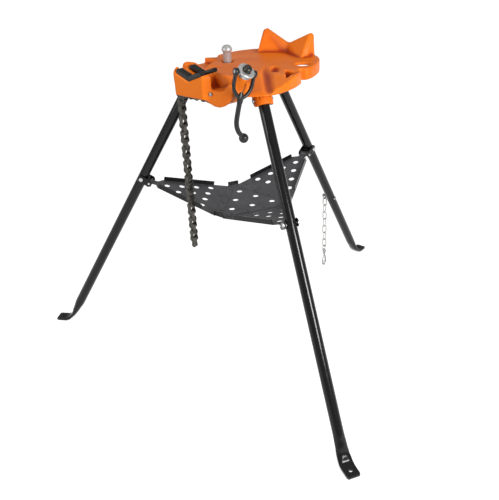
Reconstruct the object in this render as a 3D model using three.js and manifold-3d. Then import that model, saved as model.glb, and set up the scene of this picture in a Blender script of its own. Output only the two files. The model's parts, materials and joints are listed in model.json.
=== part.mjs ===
// Tripod pipe vise stand: a cast vise base with a chain clamp and a pipe rest on three folding
// tube legs, with a folding perforated tool tray between them. Millimetres, +Z up.
import * as THREE from 'three';
import { mergeVertices } from 'three/addons/utils/BufferGeometryUtils.js';
import Module from 'manifold-3d';

const wasm = await Module();
wasm.setup();

// Fits shared by all assemblies
const TOUCH_GAP = 0.3;
const PIN_CLEARANCE = 0.3;

// Tripod legs
const LEG_TUBE = 31.8;
const LEG_WALL = 2.6;
const LEG_SPLAY = 31.1;
const LEG_HINGE_Z = 872;
const LEG_HINGE_R = 161.6;
const LEG_TOP = 14;
const LEG_PIN_DIAMETER = 12;
const LEG_AZIMUTHS = { rear: 90, left: 210, right: 330 };
const LEG_SIDES = 16;
const FOOT_LENGTH = 50;
const FOOT_WIDTH = 40;
const FOOT_THICKNESS = 8.4;
const FOOT_HOLE = 12;

// Cast vise base
const DECK_TOP = 927;
const SKIRT_BOTTOM = 892;
const CASTING_WALL = 9;
const DECK_THICKNESS = 9;
const SHOULDERS = [
  { start: [62, -18], turn: 9, slope: 13, near: 8 },
  { start: [183, -31], turn: 33, slope: 27, near: 180 },
];
const SOCKET_DIAMETER = 56;
const SOCKET_LENGTH = 18;
const REST_BACK = 240;
const REST_FRONT = 224;
const REST_FOOT = 177;
const REST_PEAK_Z = 992;
const REST_VALLEY_Z = 956;
const REST_HALF_WIDTH = 84;
const LUG_HOLE = { x: 131, y: 122, diameter: 44 };
const SIDE_STEP = { points: [[-128, 38], [-210, 38], [-210, -110], [-128, -110], [-112, -30]], floor: 912 };
const CORNER_POCKET = { points: [[126, 42], [176, -20], [172, 44]], floor: 909 };
const DISH = { x: 97, y: 34, length: 70, width: 28, depth: 12, turn: -52 };
const BENDER_GROOVE = { from: [62, 32, 943], to: [174, -97, 915], radius: 18 };

// Jaws and chain clamp
const JAW_FACE_Y = -223;
const JAW_VALLEY_Z = 936;
const JAW_SLOPE = 22;
const JAW_HALF_WIDTH = 44;
const JAW_BAR_HEIGHT = 13;
const JAW_BAR_THICKNESS = 22;
const JAW_BAR_CENTRES = { front: -210.5, rear: -160 };
const JAW_SCREW_DIAMETER = 8;
const CHAIN_PLANE_Y = -185;
const CHAIN_SLOT_WIDTH = 31;
const CHAIN_PITCH = 23;
const CHAIN_PIN_DIAMETER = 6.4;
const CHAIN_OUTER_HEIGHT = 17;
const CHAIN_INNER_HEIGHT = 14.4;
const CHAIN_BLOCK_HALF = 6.9;
const CHAIN_PLATE = 3;
const CHAIN_SIDE_GAP = 0.4;
const LEAD_LINKS = 7;
const HANG_LINKS = 7;
const SCREW_TILT = 48;
const SCREW_DIAMETER = 22;
const NUT_CENTRE = [170, CHAIN_PLANE_Y, 973];
const NUT_DIAMETER = 42;
const NUT_LENGTH = 16;
const SCREW_EYE_DROP = 118;
const HANDLE_TURN = -24;
const YOKE_HALF_WIDTH = 28;
const YOKE_DEPTH = 65;
const HANDLE_LENGTH = 172;
const HANDLE_BALL = 26;
const TRUNNION_DIAMETER = 9;

// Ceiling brace screw
const BRACE_X = -86;
const BRACE_Y = 38;
const BRACE_DIAMETER = 22;
const BRACE_DOME = 32;
const BRACE_STICK_OUT = 49;
const BRACE_REACH = 65;

// Folding tray
const TRAY_PIVOT_Z = 560;
const TRAY_PIVOT_OFFSET = 28;
const TRAY_SHEET = 2;
const TRAY_DROP = 60;
const TRAY_RIM_R = 86;
const TRAY_LAP = 2;
const WING_HALF_WIDTH = 113;
const WING_NECK_HALF = 30;
const WING_NECK = 32;
const WING_FLANGE = 14;
const TRAY_HOLE = 18;
const TRAY_HOLE_PITCH = 44;
const TRAY_HINGE_BAND = 40;
const WING_PIN_DIAMETER = 8;
const BRACKET_SHEET = 3;
const BRACKET_BOLT = 8;

// Retaining chain on the rear leg
const RETAINER_Z = 330;
const RETAINER_SIDE = 27;
const RETAINER_LINKS = 7;
const RETAINER_PITCH = 30;
const RETAINER_WIRE = 2.2;
const LINK_HALF_WIDTH = 7.5;
const LOW_RING_R = 11;

const rad = THREE.MathUtils.degToRad;
const splay = rad(LEG_SPLAY);
const tubeR = LEG_TUBE / 2;
const footR = LEG_HINGE_R + LEG_HINGE_Z * Math.tan(splay);
const legLength = LEG_HINGE_Z / Math.cos(splay);
const pinR = LEG_PIN_DIAMETER / 2;

const CASTING = new THREE.MeshStandardMaterial({ color: 0xdd6a22, roughness: 0.45, metalness: 0.1 });
const BLACK = new THREE.MeshStandardMaterial({ color: 0x16171a, roughness: 0.3, metalness: 0.3 });
const TRAY = new THREE.MeshStandardMaterial({ color: 0x35373b, roughness: 0.5, metalness: 0.3 });
const STEEL = new THREE.MeshStandardMaterial({ color: 0x3a3a38, roughness: 0.45, metalness: 0.8 });
const ZINC = new THREE.MeshStandardMaterial({ color: 0xb4b6ba, roughness: 0.35, metalness: 0.9 });

// Solids
function solid(geometry) {
  const plain = geometry.index ? geometry.toNonIndexed() : geometry.clone();
  plain.deleteAttribute('normal');
  plain.deleteAttribute('uv');
  const merged = mergeVertices(plain, 1e-4);
  const triVerts = new Uint32Array(merged.index.array);
  const vertProperties = merged.attributes.position.array;
  return new wasm.Manifold(new wasm.Mesh({ numProp: 3, vertProperties, triVerts }));
}

function join(...pieces) {
  return pieces.reduce((sum, piece) => sum.add(piece));
}

function cut(base, ...tools) {
  return tools.reduce((rest, tool) => rest.subtract(tool), base);
}

// Draws together corners that cuts leave closer than a limit
function weld(manifold, limit) {
  const mesh = manifold.getMesh();
  const at = (v) => new THREE.Vector3().fromArray(mesh.vertProperties, v * mesh.numProp);
  const root = Array.from({ length: mesh.numVert }, (_, v) => v);
  const find = (v) => (root[v] === v ? v : find(root[v]));
  const corners = [];
  for (let i = 0; i < mesh.triVerts.length; i += 3) corners.push([...mesh.triVerts.slice(i, i + 3)]);
  corners.forEach(([a, b, c]) => {
    [[a, b], [b, c], [c, a]].forEach(([p, q]) => {
      if (at(p).distanceTo(at(q)) < limit) root[find(p)] = find(q);
    });
  });
  const kept = corners.map((tri) => tri.map(find)).filter(([a, b, c]) => a !== b && b !== c && c !== a);
  const { numProp, vertProperties } = mesh;
  const triVerts = new Uint32Array(kept.flat());
  return new wasm.Manifold(new wasm.Mesh({ numProp, vertProperties, triVerts }));
}

function geometryOf(manifold) {
  const mesh = manifold.getMesh();
  const position = new Float32Array(mesh.numVert * 3);
  for (let i = 0; i < mesh.numVert; i++) {
    position.set(mesh.vertProperties.subarray(i * mesh.numProp, i * mesh.numProp + 3), i * 3);
  }
  const geometry = new THREE.BufferGeometry();
  geometry.setAttribute('position', new THREE.BufferAttribute(position, 3));
  geometry.setIndex(new THREE.BufferAttribute(new Uint32Array(mesh.triVerts), 1));
  geometry.computeVertexNormals();
  return geometry;
}

// Plain forms, each placed by an optional matrix
function placed(geometry, matrix) {
  return solid(matrix ? geometry.applyMatrix4(matrix) : geometry);
}

function rodZ(radius, z0, z1, sides = 16, matrix = null) {
  const rod = new THREE.CylinderGeometry(radius, radius, z1 - z0, sides);
  return placed(rod.rotateX(Math.PI / 2).translate(0, 0, (z0 + z1) / 2), matrix);
}

function rodY(radius, y0, y1, sides = 16, matrix = null) {
  const rod = new THREE.CylinderGeometry(radius, radius, y1 - y0, sides);
  return placed(rod.translate(0, (y0 + y1) / 2, 0), matrix);
}

function rodX(radius, x0, x1, sides = 16, matrix = null) {
  const rod = new THREE.CylinderGeometry(radius, radius, x1 - x0, sides);
  return placed(rod.rotateZ(-Math.PI / 2).translate((x0 + x1) / 2, 0, 0), matrix);
}

// Bores, drawn outside their circle so that a turning pin stays clear of the flats
function outside(radius, sides) {
  return radius / Math.cos(Math.PI / sides);
}

function boreZ(radius, z0, z1, sides = 12, matrix = null) {
  return rodZ(outside(radius, sides), z0, z1, sides, matrix);
}

function boreY(radius, y0, y1, sides = 10, matrix = null) {
  return rodY(outside(radius, sides), y0, y1, sides, matrix);
}

function boreX(radius, x0, x1, sides = 10, matrix = null) {
  return rodX(outside(radius, sides), x0, x1, sides, matrix);
}

function block(x0, x1, y0, y1, z0, z1, matrix = null) {
  const box = new THREE.BoxGeometry(x1 - x0, y1 - y0, z1 - z0);
  return placed(box.translate((x0 + x1) / 2, (y0 + y1) / 2, (z0 + z1) / 2), matrix);
}

function shapeOf(points) {
  return new THREE.Shape(points.map(([x, y]) => new THREE.Vector2(x, y)));
}

function prismZ(points, z0, z1, matrix = null) {
  const form = new THREE.ExtrudeGeometry(shapeOf(points), { depth: z1 - z0, bevelEnabled: false });
  return placed(form.translate(0, 0, z0), matrix);
}

// A profile drawn in X and Z, drawn out along Y
function prismY(points, y0, y1, matrix = null) {
  const form = new THREE.ExtrudeGeometry(shapeOf(points), { depth: y1 - y0, bevelEnabled: false });
  return placed(form.rotateX(Math.PI / 2).translate(0, y1, 0), matrix);
}

// A profile drawn in Y and Z, drawn out along X
function prismX(points, x0, x1, matrix = null) {
  const form = new THREE.ExtrudeGeometry(shapeOf(points), { depth: x1 - x0, bevelEnabled: false });
  const turned = form.rotateX(Math.PI / 2).rotateZ(Math.PI / 2);
  return placed(turned.translate(x0, 0, 0), matrix);
}

// A skin over rings of equal count, closed by flat ends
function loft(rings, matrix = null) {
  const count = rings[0].length;
  const position = rings.flat().flatMap((p) => [p.x, p.y, p.z]);
  const index = [];
  for (let k = 0; k + 1 < rings.length; k++) {
    for (let i = 0; i < count; i++) {
      const a = k * count + i;
      const b = k * count + ((i + 1) % count);
      index.push(a, b, b + count, a, b + count, a + count);
    }
  }
  [0, rings.length - 1].forEach((k) => {
    const flat = flatten(rings[k]);
    THREE.ShapeUtils.triangulateShape(flat, []).forEach(([a, b, c]) => {
      const tri = [a + k * count, b + k * count, c + k * count];
      index.push(...(k === 0 ? tri.reverse() : tri));
    });
  });
  const geometry = new THREE.BufferGeometry();
  geometry.setAttribute('position', new THREE.Float32BufferAttribute(position, 3));
  geometry.setIndex(index);
  const made = placed(geometry, matrix);
  if (made.volume() > 0) return made;
  const back = geometry.clone();
  back.setIndex(index.map((v, i) => index[i % 3 === 0 ? i : i % 3 === 1 ? i + 1 : i - 1]));
  return solid(back);
}

// The points of a flat ring in two coordinates of its own plane
function flatten(ring) {
  const centre = ring.reduce((sum, p) => sum.add(p), new THREE.Vector3()).divideScalar(ring.length);
  const normal = new THREE.Vector3();
  ring.forEach((p, i) => {
    const q = ring[(i + 1) % ring.length];
    normal.add(p.clone().sub(centre).cross(q.clone().sub(centre)));
  });
  const u = ring[0].clone().sub(centre).normalize();
  const v = normal.normalize().clone().cross(u);
  return ring.map((p) => new THREE.Vector2(p.clone().sub(centre).dot(u), p.clone().sub(centre).dot(v)));
}

// A round bar bent along a smooth path
function bentRod(points, radius, steps, sides = 8, matrix = null) {
  const section = new THREE.Shape();
  for (let i = 0; i < sides; i++) {
    const t = ((i + 0.5) / sides) * 2 * Math.PI;
    const corner = [radius * Math.cos(t), radius * Math.sin(t)];
    if (i === 0) section.moveTo(...corner);
    else section.lineTo(...corner);
  }
  const extrudePath = new THREE.CatmullRomCurve3(points.map((p) => new THREE.Vector3(...p)));
  return placed(new THREE.ExtrudeGeometry(section, { steps, extrudePath, bevelEnabled: false }), matrix);
}

function ring(radius, wire, sides, steps, matrix = null) {
  return placed(new THREE.TorusGeometry(radius, wire, sides, steps), matrix);
}

function ovalLink(halfWidth, wire, straight, matrix) {
  const torus = new THREE.TorusGeometry(halfWidth, wire, 5, 12);
  const at = torus.attributes.position;
  for (let i = 0; i < at.count; i++) {
    const y = at.getY(i);
    if (Math.abs(y) > 0.01) at.setY(i, y + Math.sign(y) * straight);
  }
  return placed(torus, matrix);
}

function shift(x, y, z) {
  return new THREE.Matrix4().makeTranslation(x, y, z);
}

function turnZ(degrees) {
  return new THREE.Matrix4().makeRotationZ(rad(degrees));
}

const stand = new THREE.Group();

function add(name, manifold, material, matrix = null) {
  const mesh = new THREE.Mesh(geometryOf(manifold), material);
  mesh.name = name;
  if (matrix) mesh.applyMatrix4(matrix);
  stand.add(mesh);
}

// Leg frame in the radial plane of a leg: X square to the tube and outward, Z up along the tube
const legFrame = shift(LEG_HINGE_R, 0, LEG_HINGE_Z).multiply(new THREE.Matrix4().makeRotationY(-splay));

// Cast vise base
// Right half of the plan: front lobe over the leg, near corner, notch, lug and back
const OUTLINE = [
  [0, -150], [48, -157], [97, -158], [125, -147], [150, -130], [170, -112], [184, -93], [192, -66],
  [195, -28], [191, 10], [184, 36], [180, 47], [174, 51], [158, 62], [155, 72], [160, 80], [168, 83],
  [172, 92], [172, 112], [166, 142], [151, 180], [133, 208], [110, 230], [80, 245], [40, 253], [0, 255],
];

function outline(inset) {
  const right = OUTLINE.map(([x, y]) => new THREE.Vector2(x, y));
  const left = OUTLINE.slice(1, -1).reverse().map(([x, y]) => new THREE.Vector2(-x, y));
  const points = [...right, ...left];
  if (inset === 0) return points.map((p) => [p.x, p.y]);
  const inner = new wasm.CrossSection([points.map((p) => [p.x, p.y])], 'Positive').offset(-inset, 'Miter');
  return inner.simplify(1.5).toPolygons()[0];
}

// The space over a front leg, which falls away from a line on the deck in two slopes
function shoulderSpace(side, inset, sink) {
  const spaces = SHOULDERS.map(({ start, turn, slope, near }) => {
    const t = rad(turn);
    const basis = new THREE.Matrix4().makeBasis(
      new THREE.Vector3(-Math.cos(t), -side * Math.sin(t), 0),
      new THREE.Vector3(side * Math.sin(t), -Math.cos(t), 0),
      new THREE.Vector3(0, 0, 1),
    );
    const frame = shift(side * start[0], start[1], DECK_TOP - sink)
      .multiply(basis)
      .multiply(new THREE.Matrix4().makeRotationX(-rad(slope)));
    const reach = near + inset;
    const [x0, x1] = side > 0 ? [-260, reach] : [-reach, 260];
    return block(x0, x1, 0, 260, 0, 120, frame);
  });
  return join(...spaces);
}

function envelope(inset, z0, z1, sink) {
  return cut(prismZ(outline(inset), z0, z1), shoulderSpace(1, inset, sink), shoulderSpace(-1, inset, sink));
}

function jawRing(y, left, right, valleyZ) {
  return [
    ...right.map(([x, z]) => new THREE.Vector3(x, y, z)),
    new THREE.Vector3(0, y, valleyZ),
    ...left.map(([x, z]) => new THREE.Vector3(-x, y, z)).reverse(),
  ];
}

const jawRise = Math.tan(rad(JAW_SLOPE));
const screwTilt = rad(SCREW_TILT);
const screwAxis = new THREE.Vector3(Math.cos(screwTilt), 0, Math.sin(screwTilt));
const screwFrame = shift(...NUT_CENTRE).multiply(
  new THREE.Matrix4().makeRotationY(Math.PI / 2 - screwTilt),
);
const eye = new THREE.Vector3(...NUT_CENTRE).addScaledVector(screwAxis, -SCREW_EYE_DROP);
const slotHalf = CHAIN_SLOT_WIDTH / 2;
const GUIDE_PIN = { x: 70, z: 909, diameter: 10, y0: -214, y1: -155 };

function socketTools(azimuth) {
  const frame = turnZ(azimuth).multiply(legFrame);
  const half = tubeR + 1;
  const reach = Math.hypot(tubeR, LEG_TOP) + 0.8;
  return [
    block(-90, 0, -half, half, -70, LEG_TOP + 4, frame),
    rodZ(tubeR + 0.5, -70, LEG_TOP + 4, 16, frame),
    rodY(reach, -half, half, 14, frame),
    boreY(pinR + PIN_CLEARANCE, -60, 60, 10, frame),
  ];
}

function makeBase() {
  const shell = cut(
    envelope(0, SKIRT_BOTTOM, DECK_TOP, 0),
    envelope(CASTING_WALL, 800, DECK_TOP - DECK_THICKNESS, DECK_THICKNESS + 0.4),
  );
  const outer = envelope(0, 800, DECK_TOP, 0);
  const sockets = Object.values(LEG_AZIMUTHS).map((azimuth) =>
    rodZ(SOCKET_DIAMETER / 2, -SOCKET_LENGTH, 58, 18, turnZ(azimuth).multiply(legFrame)).intersect(outer),
  );
  const low = SKIRT_BOTTOM;
  const seat = (x) => [x, JAW_VALLEY_Z + x * jawRise];
  const jaw = loft([
    jawRing(
      JAW_FACE_Y,
      [[51, low], [54, 950], [52, 958], [48, 959], seat(45)],
      [[51, low], [53, 948], [50, 957], seat(45)],
      JAW_VALLEY_Z,
    ),
    jawRing(
      -207,
      [[58, low], [61, 954], [58, 965], [51, 967], seat(46)],
      [[65, low], [66, 950], [61, 960], seat(48)],
      JAW_VALLEY_Z,
    ),
    jawRing(
      -160,
      [[74, low], [75, 954], [70, 966], [59, 971], seat(49)],
      [[78, low], [74, 926], [53, 955], seat(46)],
      JAW_VALLEY_Z,
    ),
    jawRing(
      -128,
      [[80, low], [78, 946], [70, 958], [58, 962], [48, 950]],
      [[86, low], [76, 924], [54, 941], [46, 940]],
      JAW_VALLEY_Z - 5,
    ),
    jawRing(
      -86,
      [[62, low], [59, 922], [56, DECK_TOP], [50, DECK_TOP + 2], [44, DECK_TOP + 1]],
      [[62, low], [58, 923], [52, DECK_TOP + 2], [44, DECK_TOP + 1]],
      DECK_TOP,
    ),
  ]);
  const boss = rodZ(17, -98, -NUT_LENGTH / 2 - TOUCH_GAP, 18, screwFrame);
  const arm = prismY(
    [
      [44, 890], [60, 883], [78, 877], [96, 876], [114, 882], [131, 894], [146, 913], [150, 934],
      [134, 942], [114, 924], [98, 919], [44, 919],
    ],
    -212,
    -142,
  );
  const restAt = (x, foot, peak) =>
    [[foot, DECK_TOP - 6], [REST_BACK + 2, DECK_TOP - 6], [REST_BACK - 2, peak], [REST_FRONT, peak]].map(
      ([y, z]) => new THREE.Vector3(x, y, z),
    );
  const rest = loft([
    restAt(-REST_HALF_WIDTH - 9, REST_FOOT + 17, REST_PEAK_Z - 6),
    restAt(-REST_HALF_WIDTH, REST_FOOT, REST_PEAK_Z),
    restAt(-6, REST_FRONT - 6, REST_VALLEY_Z),
    restAt(6, REST_FRONT - 6, REST_VALLEY_Z),
    restAt(REST_HALF_WIDTH, REST_FOOT, REST_PEAK_Z),
    restAt(REST_HALF_WIDTH + 9, REST_FOOT + 17, REST_PEAK_Z - 6),
  ]);
  const braceBoss = rodZ(19, 886, DECK_TOP - 3, 20, shift(BRACE_X, BRACE_Y, 0));
  const grooveFrom = new THREE.Vector3(...BENDER_GROOVE.from);
  const grooveRun = new THREE.Vector3(...BENDER_GROOVE.to).sub(grooveFrom);
  const grooveTurn = new THREE.Quaternion().setFromUnitVectors(
    new THREE.Vector3(0, 0, 1),
    grooveRun.clone().normalize(),
  );
  const grooveFrame = shift(...BENDER_GROOVE.from).multiply(
    new THREE.Matrix4().makeRotationFromQuaternion(grooveTurn),
  );
  const benderGroove = (grow, sides) =>
    rodZ(BENDER_GROOVE.radius + grow, -40, grooveRun.length() + 40, sides, grooveFrame);
  const dishFrame = shift(DISH.x, DISH.y, DECK_TOP).multiply(turnZ(DISH.turn));
  const dishBowl = (grow) =>
    placed(
      new THREE.SphereGeometry(1, 12, 8).rotateX(Math.PI / 2),
      dishFrame.clone().scale(
        new THREE.Vector3(DISH.length / 2 + grow, DISH.width / 2 + grow, DISH.depth + grow),
      ),
    );
  const floorPad = ({ points, floor }) => {
    const wide = new wasm.CrossSection([points], 'Positive').offset(8, 'Miter');
    return wasm.Manifold.extrude(wide, DECK_TOP - floor + 8).translate([0, 0, floor - 8]);
  };
  const pads = [floorPad(CORNER_POCKET), floorPad(SIDE_STEP)];
  const linings = join(benderGroove(7, 12), dishBowl(6), ...pads).intersect(
    envelope(0, SKIRT_BOTTOM + 3, DECK_TOP, 0),
  );
  const whole = join(shell, ...sockets, jaw, boss, arm, rest, braceBoss, linings);

  const y0 = CHAIN_PLANE_Y - slotHalf;
  const y1 = CHAIN_PLANE_Y + slotHalf;
  const chainWays = [
    block(-130, 119, y0, y1, 840, 916),
    block(-130, -50, y0, y1, 840, 1000),
    block(50, 92, y0, y1, 900, 1000),
    boreZ(SCREW_DIAMETER / 2 + 0.5, -140, 10, 16, screwFrame),
  ];
  const jawScrews = Object.values(JAW_BAR_CENTRES).flatMap((y) => [
    boreZ(JAW_SCREW_DIAMETER / 2 + PIN_CLEARANCE, 880, 1000, 8, shift(0, y, 0)),
    boreZ(8.3, 880, 906, 10, shift(0, y, 0)),
  ]);
  const guide = boreY(
    GUIDE_PIN.diameter / 2 + PIN_CLEARANCE,
    -230,
    -135,
    10,
    shift(GUIDE_PIN.x, 0, GUIDE_PIN.z),
  );
  const pockets = [
    rodZ(LUG_HOLE.diameter / 2, 880, 940, 24, shift(LUG_HOLE.x, LUG_HOLE.y, 0)),
    prismZ(CORNER_POCKET.points, CORNER_POCKET.floor, 940),
    prismZ(SIDE_STEP.points, SIDE_STEP.floor, 940),
    dishBowl(0),
    benderGroove(0, 16),
    boreZ(BRACE_DIAMETER / 2 + 0.4, 880, 940, 16, shift(BRACE_X, BRACE_Y, 0)),
  ];
  const legSpaces = Object.values(LEG_AZIMUTHS).flatMap(socketTools);
  return weld(cut(whole, ...chainWays, ...jawScrews, guide, ...pockets, ...legSpaces).simplify(0.08), 0.12);
}

add('vise_base', makeBase(), CASTING);

// Jaw bars, each held from below by one screw
const jawScrewTop = JAW_VALLEY_Z + JAW_BAR_HEIGHT - 5;

function makeJaw(y) {
  const low = JAW_VALLEY_Z + TOUCH_GAP;
  const rise = JAW_HALF_WIDTH * jawRise;
  const lean = 3;
  const bar = prismY(
    [
      [0, low],
      [JAW_HALF_WIDTH, low + rise],
      [JAW_HALF_WIDTH - lean, low + rise + JAW_BAR_HEIGHT - lean],
      [0, low + JAW_BAR_HEIGHT],
      [lean - JAW_HALF_WIDTH, low + rise + JAW_BAR_HEIGHT - lean],
      [-JAW_HALF_WIDTH, low + rise],
    ],
    y - JAW_BAR_THICKNESS / 2,
    y + JAW_BAR_THICKNESS / 2,
  );
  return cut(bar, boreZ(JAW_SCREW_DIAMETER / 2 + PIN_CLEARANCE, 900, jawScrewTop + 0.5, 8, shift(0, y, 0)));
}

Object.entries(JAW_BAR_CENTRES).forEach(([end, y]) => {
  add(`jaw_bar_${end}`, makeJaw(y), STEEL);
  const head = rodZ(7.5, 899.4, 906 - TOUCH_GAP, 6, shift(0, y, 0));
  const shank = rodZ(JAW_SCREW_DIAMETER / 2, 900, jawScrewTop, 8, shift(0, y, 0));
  add(`jaw_screw_${end}`, join(head, shank), ZINC);
});

// Clamp chain, drawn along -Z from its first pin
const plateOuter = CHAIN_BLOCK_HALF + CHAIN_SIDE_GAP + CHAIN_PLATE;

function linkProfile(height, top, bottom) {
  const r = height / 2;
  const arc = [0, 60, 120, 180].map(rad);
  const upper = arc.map((t) => [r * Math.cos(t), top + r * Math.sin(t)]);
  const lower = arc.map((t) => [-r * Math.cos(t), bottom - r * Math.sin(t)]);
  return [...upper, ...lower];
}

function chainLink(outer, i) {
  const height = outer ? CHAIN_OUTER_HEIGHT : CHAIN_INNER_HEIGHT;
  const profile = linkProfile(height, -i * CHAIN_PITCH, -(i + 1) * CHAIN_PITCH);
  if (!outer) return [prismY(profile, -CHAIN_BLOCK_HALF, CHAIN_BLOCK_HALF)];
  const inside = CHAIN_BLOCK_HALF + CHAIN_SIDE_GAP;
  return [prismY(profile, inside, plateOuter), prismY(profile, -plateOuter, -inside)];
}

function chainRun(links, firstOuter, ownFirstPin, endPin) {
  const pieces = [];
  for (let i = 0; i < links; i++) pieces.push(...chainLink((i % 2 === 0) === firstOuter, i));
  const first = ownFirstPin ? 0 : 1;
  for (let i = first; i < links + (endPin ? 1 : 0); i++) {
    const reach = i === 0 || i === links ? plateOuter : plateOuter - 1;
    pieces.push(rodY(CHAIN_PIN_DIAMETER / 2, -reach, reach, 6, shift(0, 0, -i * CHAIN_PITCH)));
  }
  const run = join(...pieces);
  if (ownFirstPin) return run;
  return cut(run, boreY(CHAIN_PIN_DIAMETER / 2 + PIN_CLEARANCE, -20, 20, 8));
}

const leadFrame = shift(eye.x, eye.y, eye.z).multiply(new THREE.Matrix4().makeRotationY(Math.PI / 2));
add('chain_lead', chainRun(LEAD_LINKS, true, true, true), STEEL, leadFrame);

const hang = { x: eye.x - LEAD_LINKS * CHAIN_PITCH, y: eye.y, z: eye.z };
['upper', 'middle', 'lower'].forEach((name, k) => {
  const run = chainRun(HANG_LINKS, k === 1, false, k < 2);
  add(`chain_${name}`, run, STEEL, shift(hang.x, hang.y, hang.z - k * HANG_LINKS * CHAIN_PITCH));
});

const guideFrame = shift(GUIDE_PIN.x, 0, GUIDE_PIN.z);
add('chain_guide_pin', rodY(GUIDE_PIN.diameter / 2, GUIDE_PIN.y0, GUIDE_PIN.y1, 10, guideFrame), ZINC);

// Chain screw with its eye, drawn along the screw axis from the nut centre
const screwRod = join(
  rodZ(SCREW_DIAMETER / 2, -101, 21, 16),
  block(-10, 10, -6.5, 6.5, -SCREW_EYE_DROP, -95),
  rodY(10, -6.5, 6.5, 16, shift(0, 0, -SCREW_EYE_DROP)),
);
const eyeHole = boreY(CHAIN_PIN_DIAMETER / 2 + PIN_CLEARANCE, -20, 20, 8, shift(0, 0, -SCREW_EYE_DROP));
add('chain_screw', cut(screwRod, eyeHole), STEEL, screwFrame);

// Clamp nut with two trunnions, and the handle that swings on them
const nutFrame = screwFrame.clone().multiply(turnZ(90 + HANDLE_TURN));
const nut = cut(
  join(
    rodZ(NUT_DIAMETER / 2, -NUT_LENGTH / 2, NUT_LENGTH / 2, 20),
    rodX(TRUNNION_DIAMETER / 2, -34, -17, 10),
    rodX(TRUNNION_DIAMETER / 2, 17, 34, 10),
  ),
  boreZ(SCREW_DIAMETER / 2 + 0.4, -20, 20, 16),
);
add('clamp_nut', nut, STEEL, nutFrame);

const trunnionAxis = new THREE.Vector3(1, 0, 0).transformDirection(nutFrame);
const handleUp = new THREE.Vector3(0, 0, 1).addScaledVector(trunnionAxis, -trunnionAxis.z).normalize();
const handleFrame = shift(...NUT_CENTRE).multiply(
  new THREE.Matrix4().makeBasis(trunnionAxis, handleUp.clone().cross(trunnionAxis), handleUp),
);
const w = YOKE_HALF_WIDTH;
const yoke = bentRod(
  [
    [w, 0, 0], [w, 0, -20], [w - 1, 0, -36], [w * 0.66, 0, -YOKE_DEPTH * 0.82], [0, 0, -YOKE_DEPTH],
    [-w * 0.66, 0, -YOKE_DEPTH * 0.82], [1 - w, 0, -36], [-w, 0, -20], [-w, 0, 0],
  ],
  4.6,
  16,
  7,
);
const shank = bentRod(
  [[0, 0, 2 - YOKE_DEPTH], [0, 0, -100], [3, 0, -128], [14, 0, -150], [29, 0, 2 - HANDLE_LENGTH]],
  6,
  8,
  7,
);
const ball = placed(new THREE.SphereGeometry(HANDLE_BALL / 2, 12, 7), shift(30, 0, -HANDLE_LENGTH));
const yokeEyes = [-1, 1].map((side) => rodX(9.5, side * w - 4.6, side * w + 4.6, 12));
const handle = cut(
  join(yoke, shank, ball, ...yokeEyes),
  boreX(TRUNNION_DIAMETER / 2 + PIN_CLEARANCE, -60, 60, 10),
);
add('clamp_handle', handle, STEEL, handleFrame);

// Ceiling brace screw
const domeR = BRACE_DOME / 2;
const braceTop = DECK_TOP + BRACE_STICK_OUT;
const braceFoot = DECK_TOP - BRACE_REACH;
const braceProfile = [
  [0, braceFoot], [BRACE_DIAMETER / 2, braceFoot], [BRACE_DIAMETER / 2, braceTop - 17],
  [domeR, braceTop - 14],
  [domeR, braceTop - 8], [domeR * 0.72, braceTop - 2], [0, braceTop],
].map(([r, z]) => new THREE.Vector2(r, z));
const brace = new THREE.LatheGeometry(braceProfile, 16).rotateX(Math.PI / 2);
add('brace_screw', placed(brace, shift(BRACE_X, BRACE_Y, 0)), STEEL);

// Legs, drawn in the radial plane and turned to their azimuth
function legRing(r, z, lean, halfWidth, halfThick, square) {
  const points = [];
  const normal = new THREE.Vector3(Math.cos(lean), 0, Math.sin(lean));
  for (let i = 0; i < LEG_SIDES; i++) {
    const t = (i / LEG_SIDES) * 2 * Math.PI;
    const clamp = (v) => THREE.MathUtils.clamp(v * square, -1, 1);
    const p = new THREE.Vector3(r, halfWidth * clamp(Math.cos(t)), z);
    points.push(p.addScaledVector(normal, halfThick * clamp(Math.sin(t))));
  }
  return points;
}

function legAt(s) {
  return [LEG_HINGE_R + s * Math.sin(splay), LEG_HINGE_Z - s * Math.cos(splay)];
}

const pivotS = (LEG_HINGE_Z - TRAY_PIVOT_Z - TRAY_PIVOT_OFFSET * Math.sin(splay)) / Math.cos(splay);
const retainerS = (LEG_HINGE_Z - RETAINER_Z) / Math.cos(splay);

function crossHole(s, radius) {
  return boreY(radius, -60, 60, 10, legFrame.clone().multiply(shift(0, 0, -s)));
}

function makeLeg(holes) {
  const flat = FOOT_THICKNESS / 2;
  const wide = FOOT_WIDTH / 2;
  const outer = loft([
    legRing(...legAt(-LEG_TOP), splay, tubeR, tubeR, 1),
    legRing(...legAt(legLength - 92), splay, tubeR, tubeR, 1),
    legRing(...legAt(legLength - 56), splay, 18, 11, 1.05),
    legRing(...legAt(legLength - 30), splay, wide, 6.4, 1.2),
    legRing(footR + 2, 8.4, (splay + Math.PI / 2) / 2, wide + 1, 5.2, 1.3),
    legRing(footR + 16, flat, Math.PI / 2, wide, flat, 1.36),
    legRing(footR + FOOT_LENGTH - 9, flat, Math.PI / 2, wide - 2, flat, 1.36),
    legRing(footR + FOOT_LENGTH, flat, Math.PI / 2, wide - 9, flat, 1.36),
  ]);
  const bore = rodZ(tubeR - LEG_WALL, 110 - legLength, LEG_TOP + 20, 14, legFrame);
  const footHole = rodZ(FOOT_HOLE / 2, -20, 40, 12, shift(footR + 29, 0, 0));
  return cut(outer, bore, footHole, ...holes.map(([s, radius]) => crossHole(s, radius)));
}

const bracketHalf = tubeR + 0.5;
const bracketOuter = bracketHalf + BRACKET_SHEET;
const bracketFrame = legFrame.clone().multiply(shift(0, 0, -pivotS));
const boltR = BRACKET_BOLT / 2;
const wingPinR = WING_PIN_DIAMETER / 2;

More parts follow.
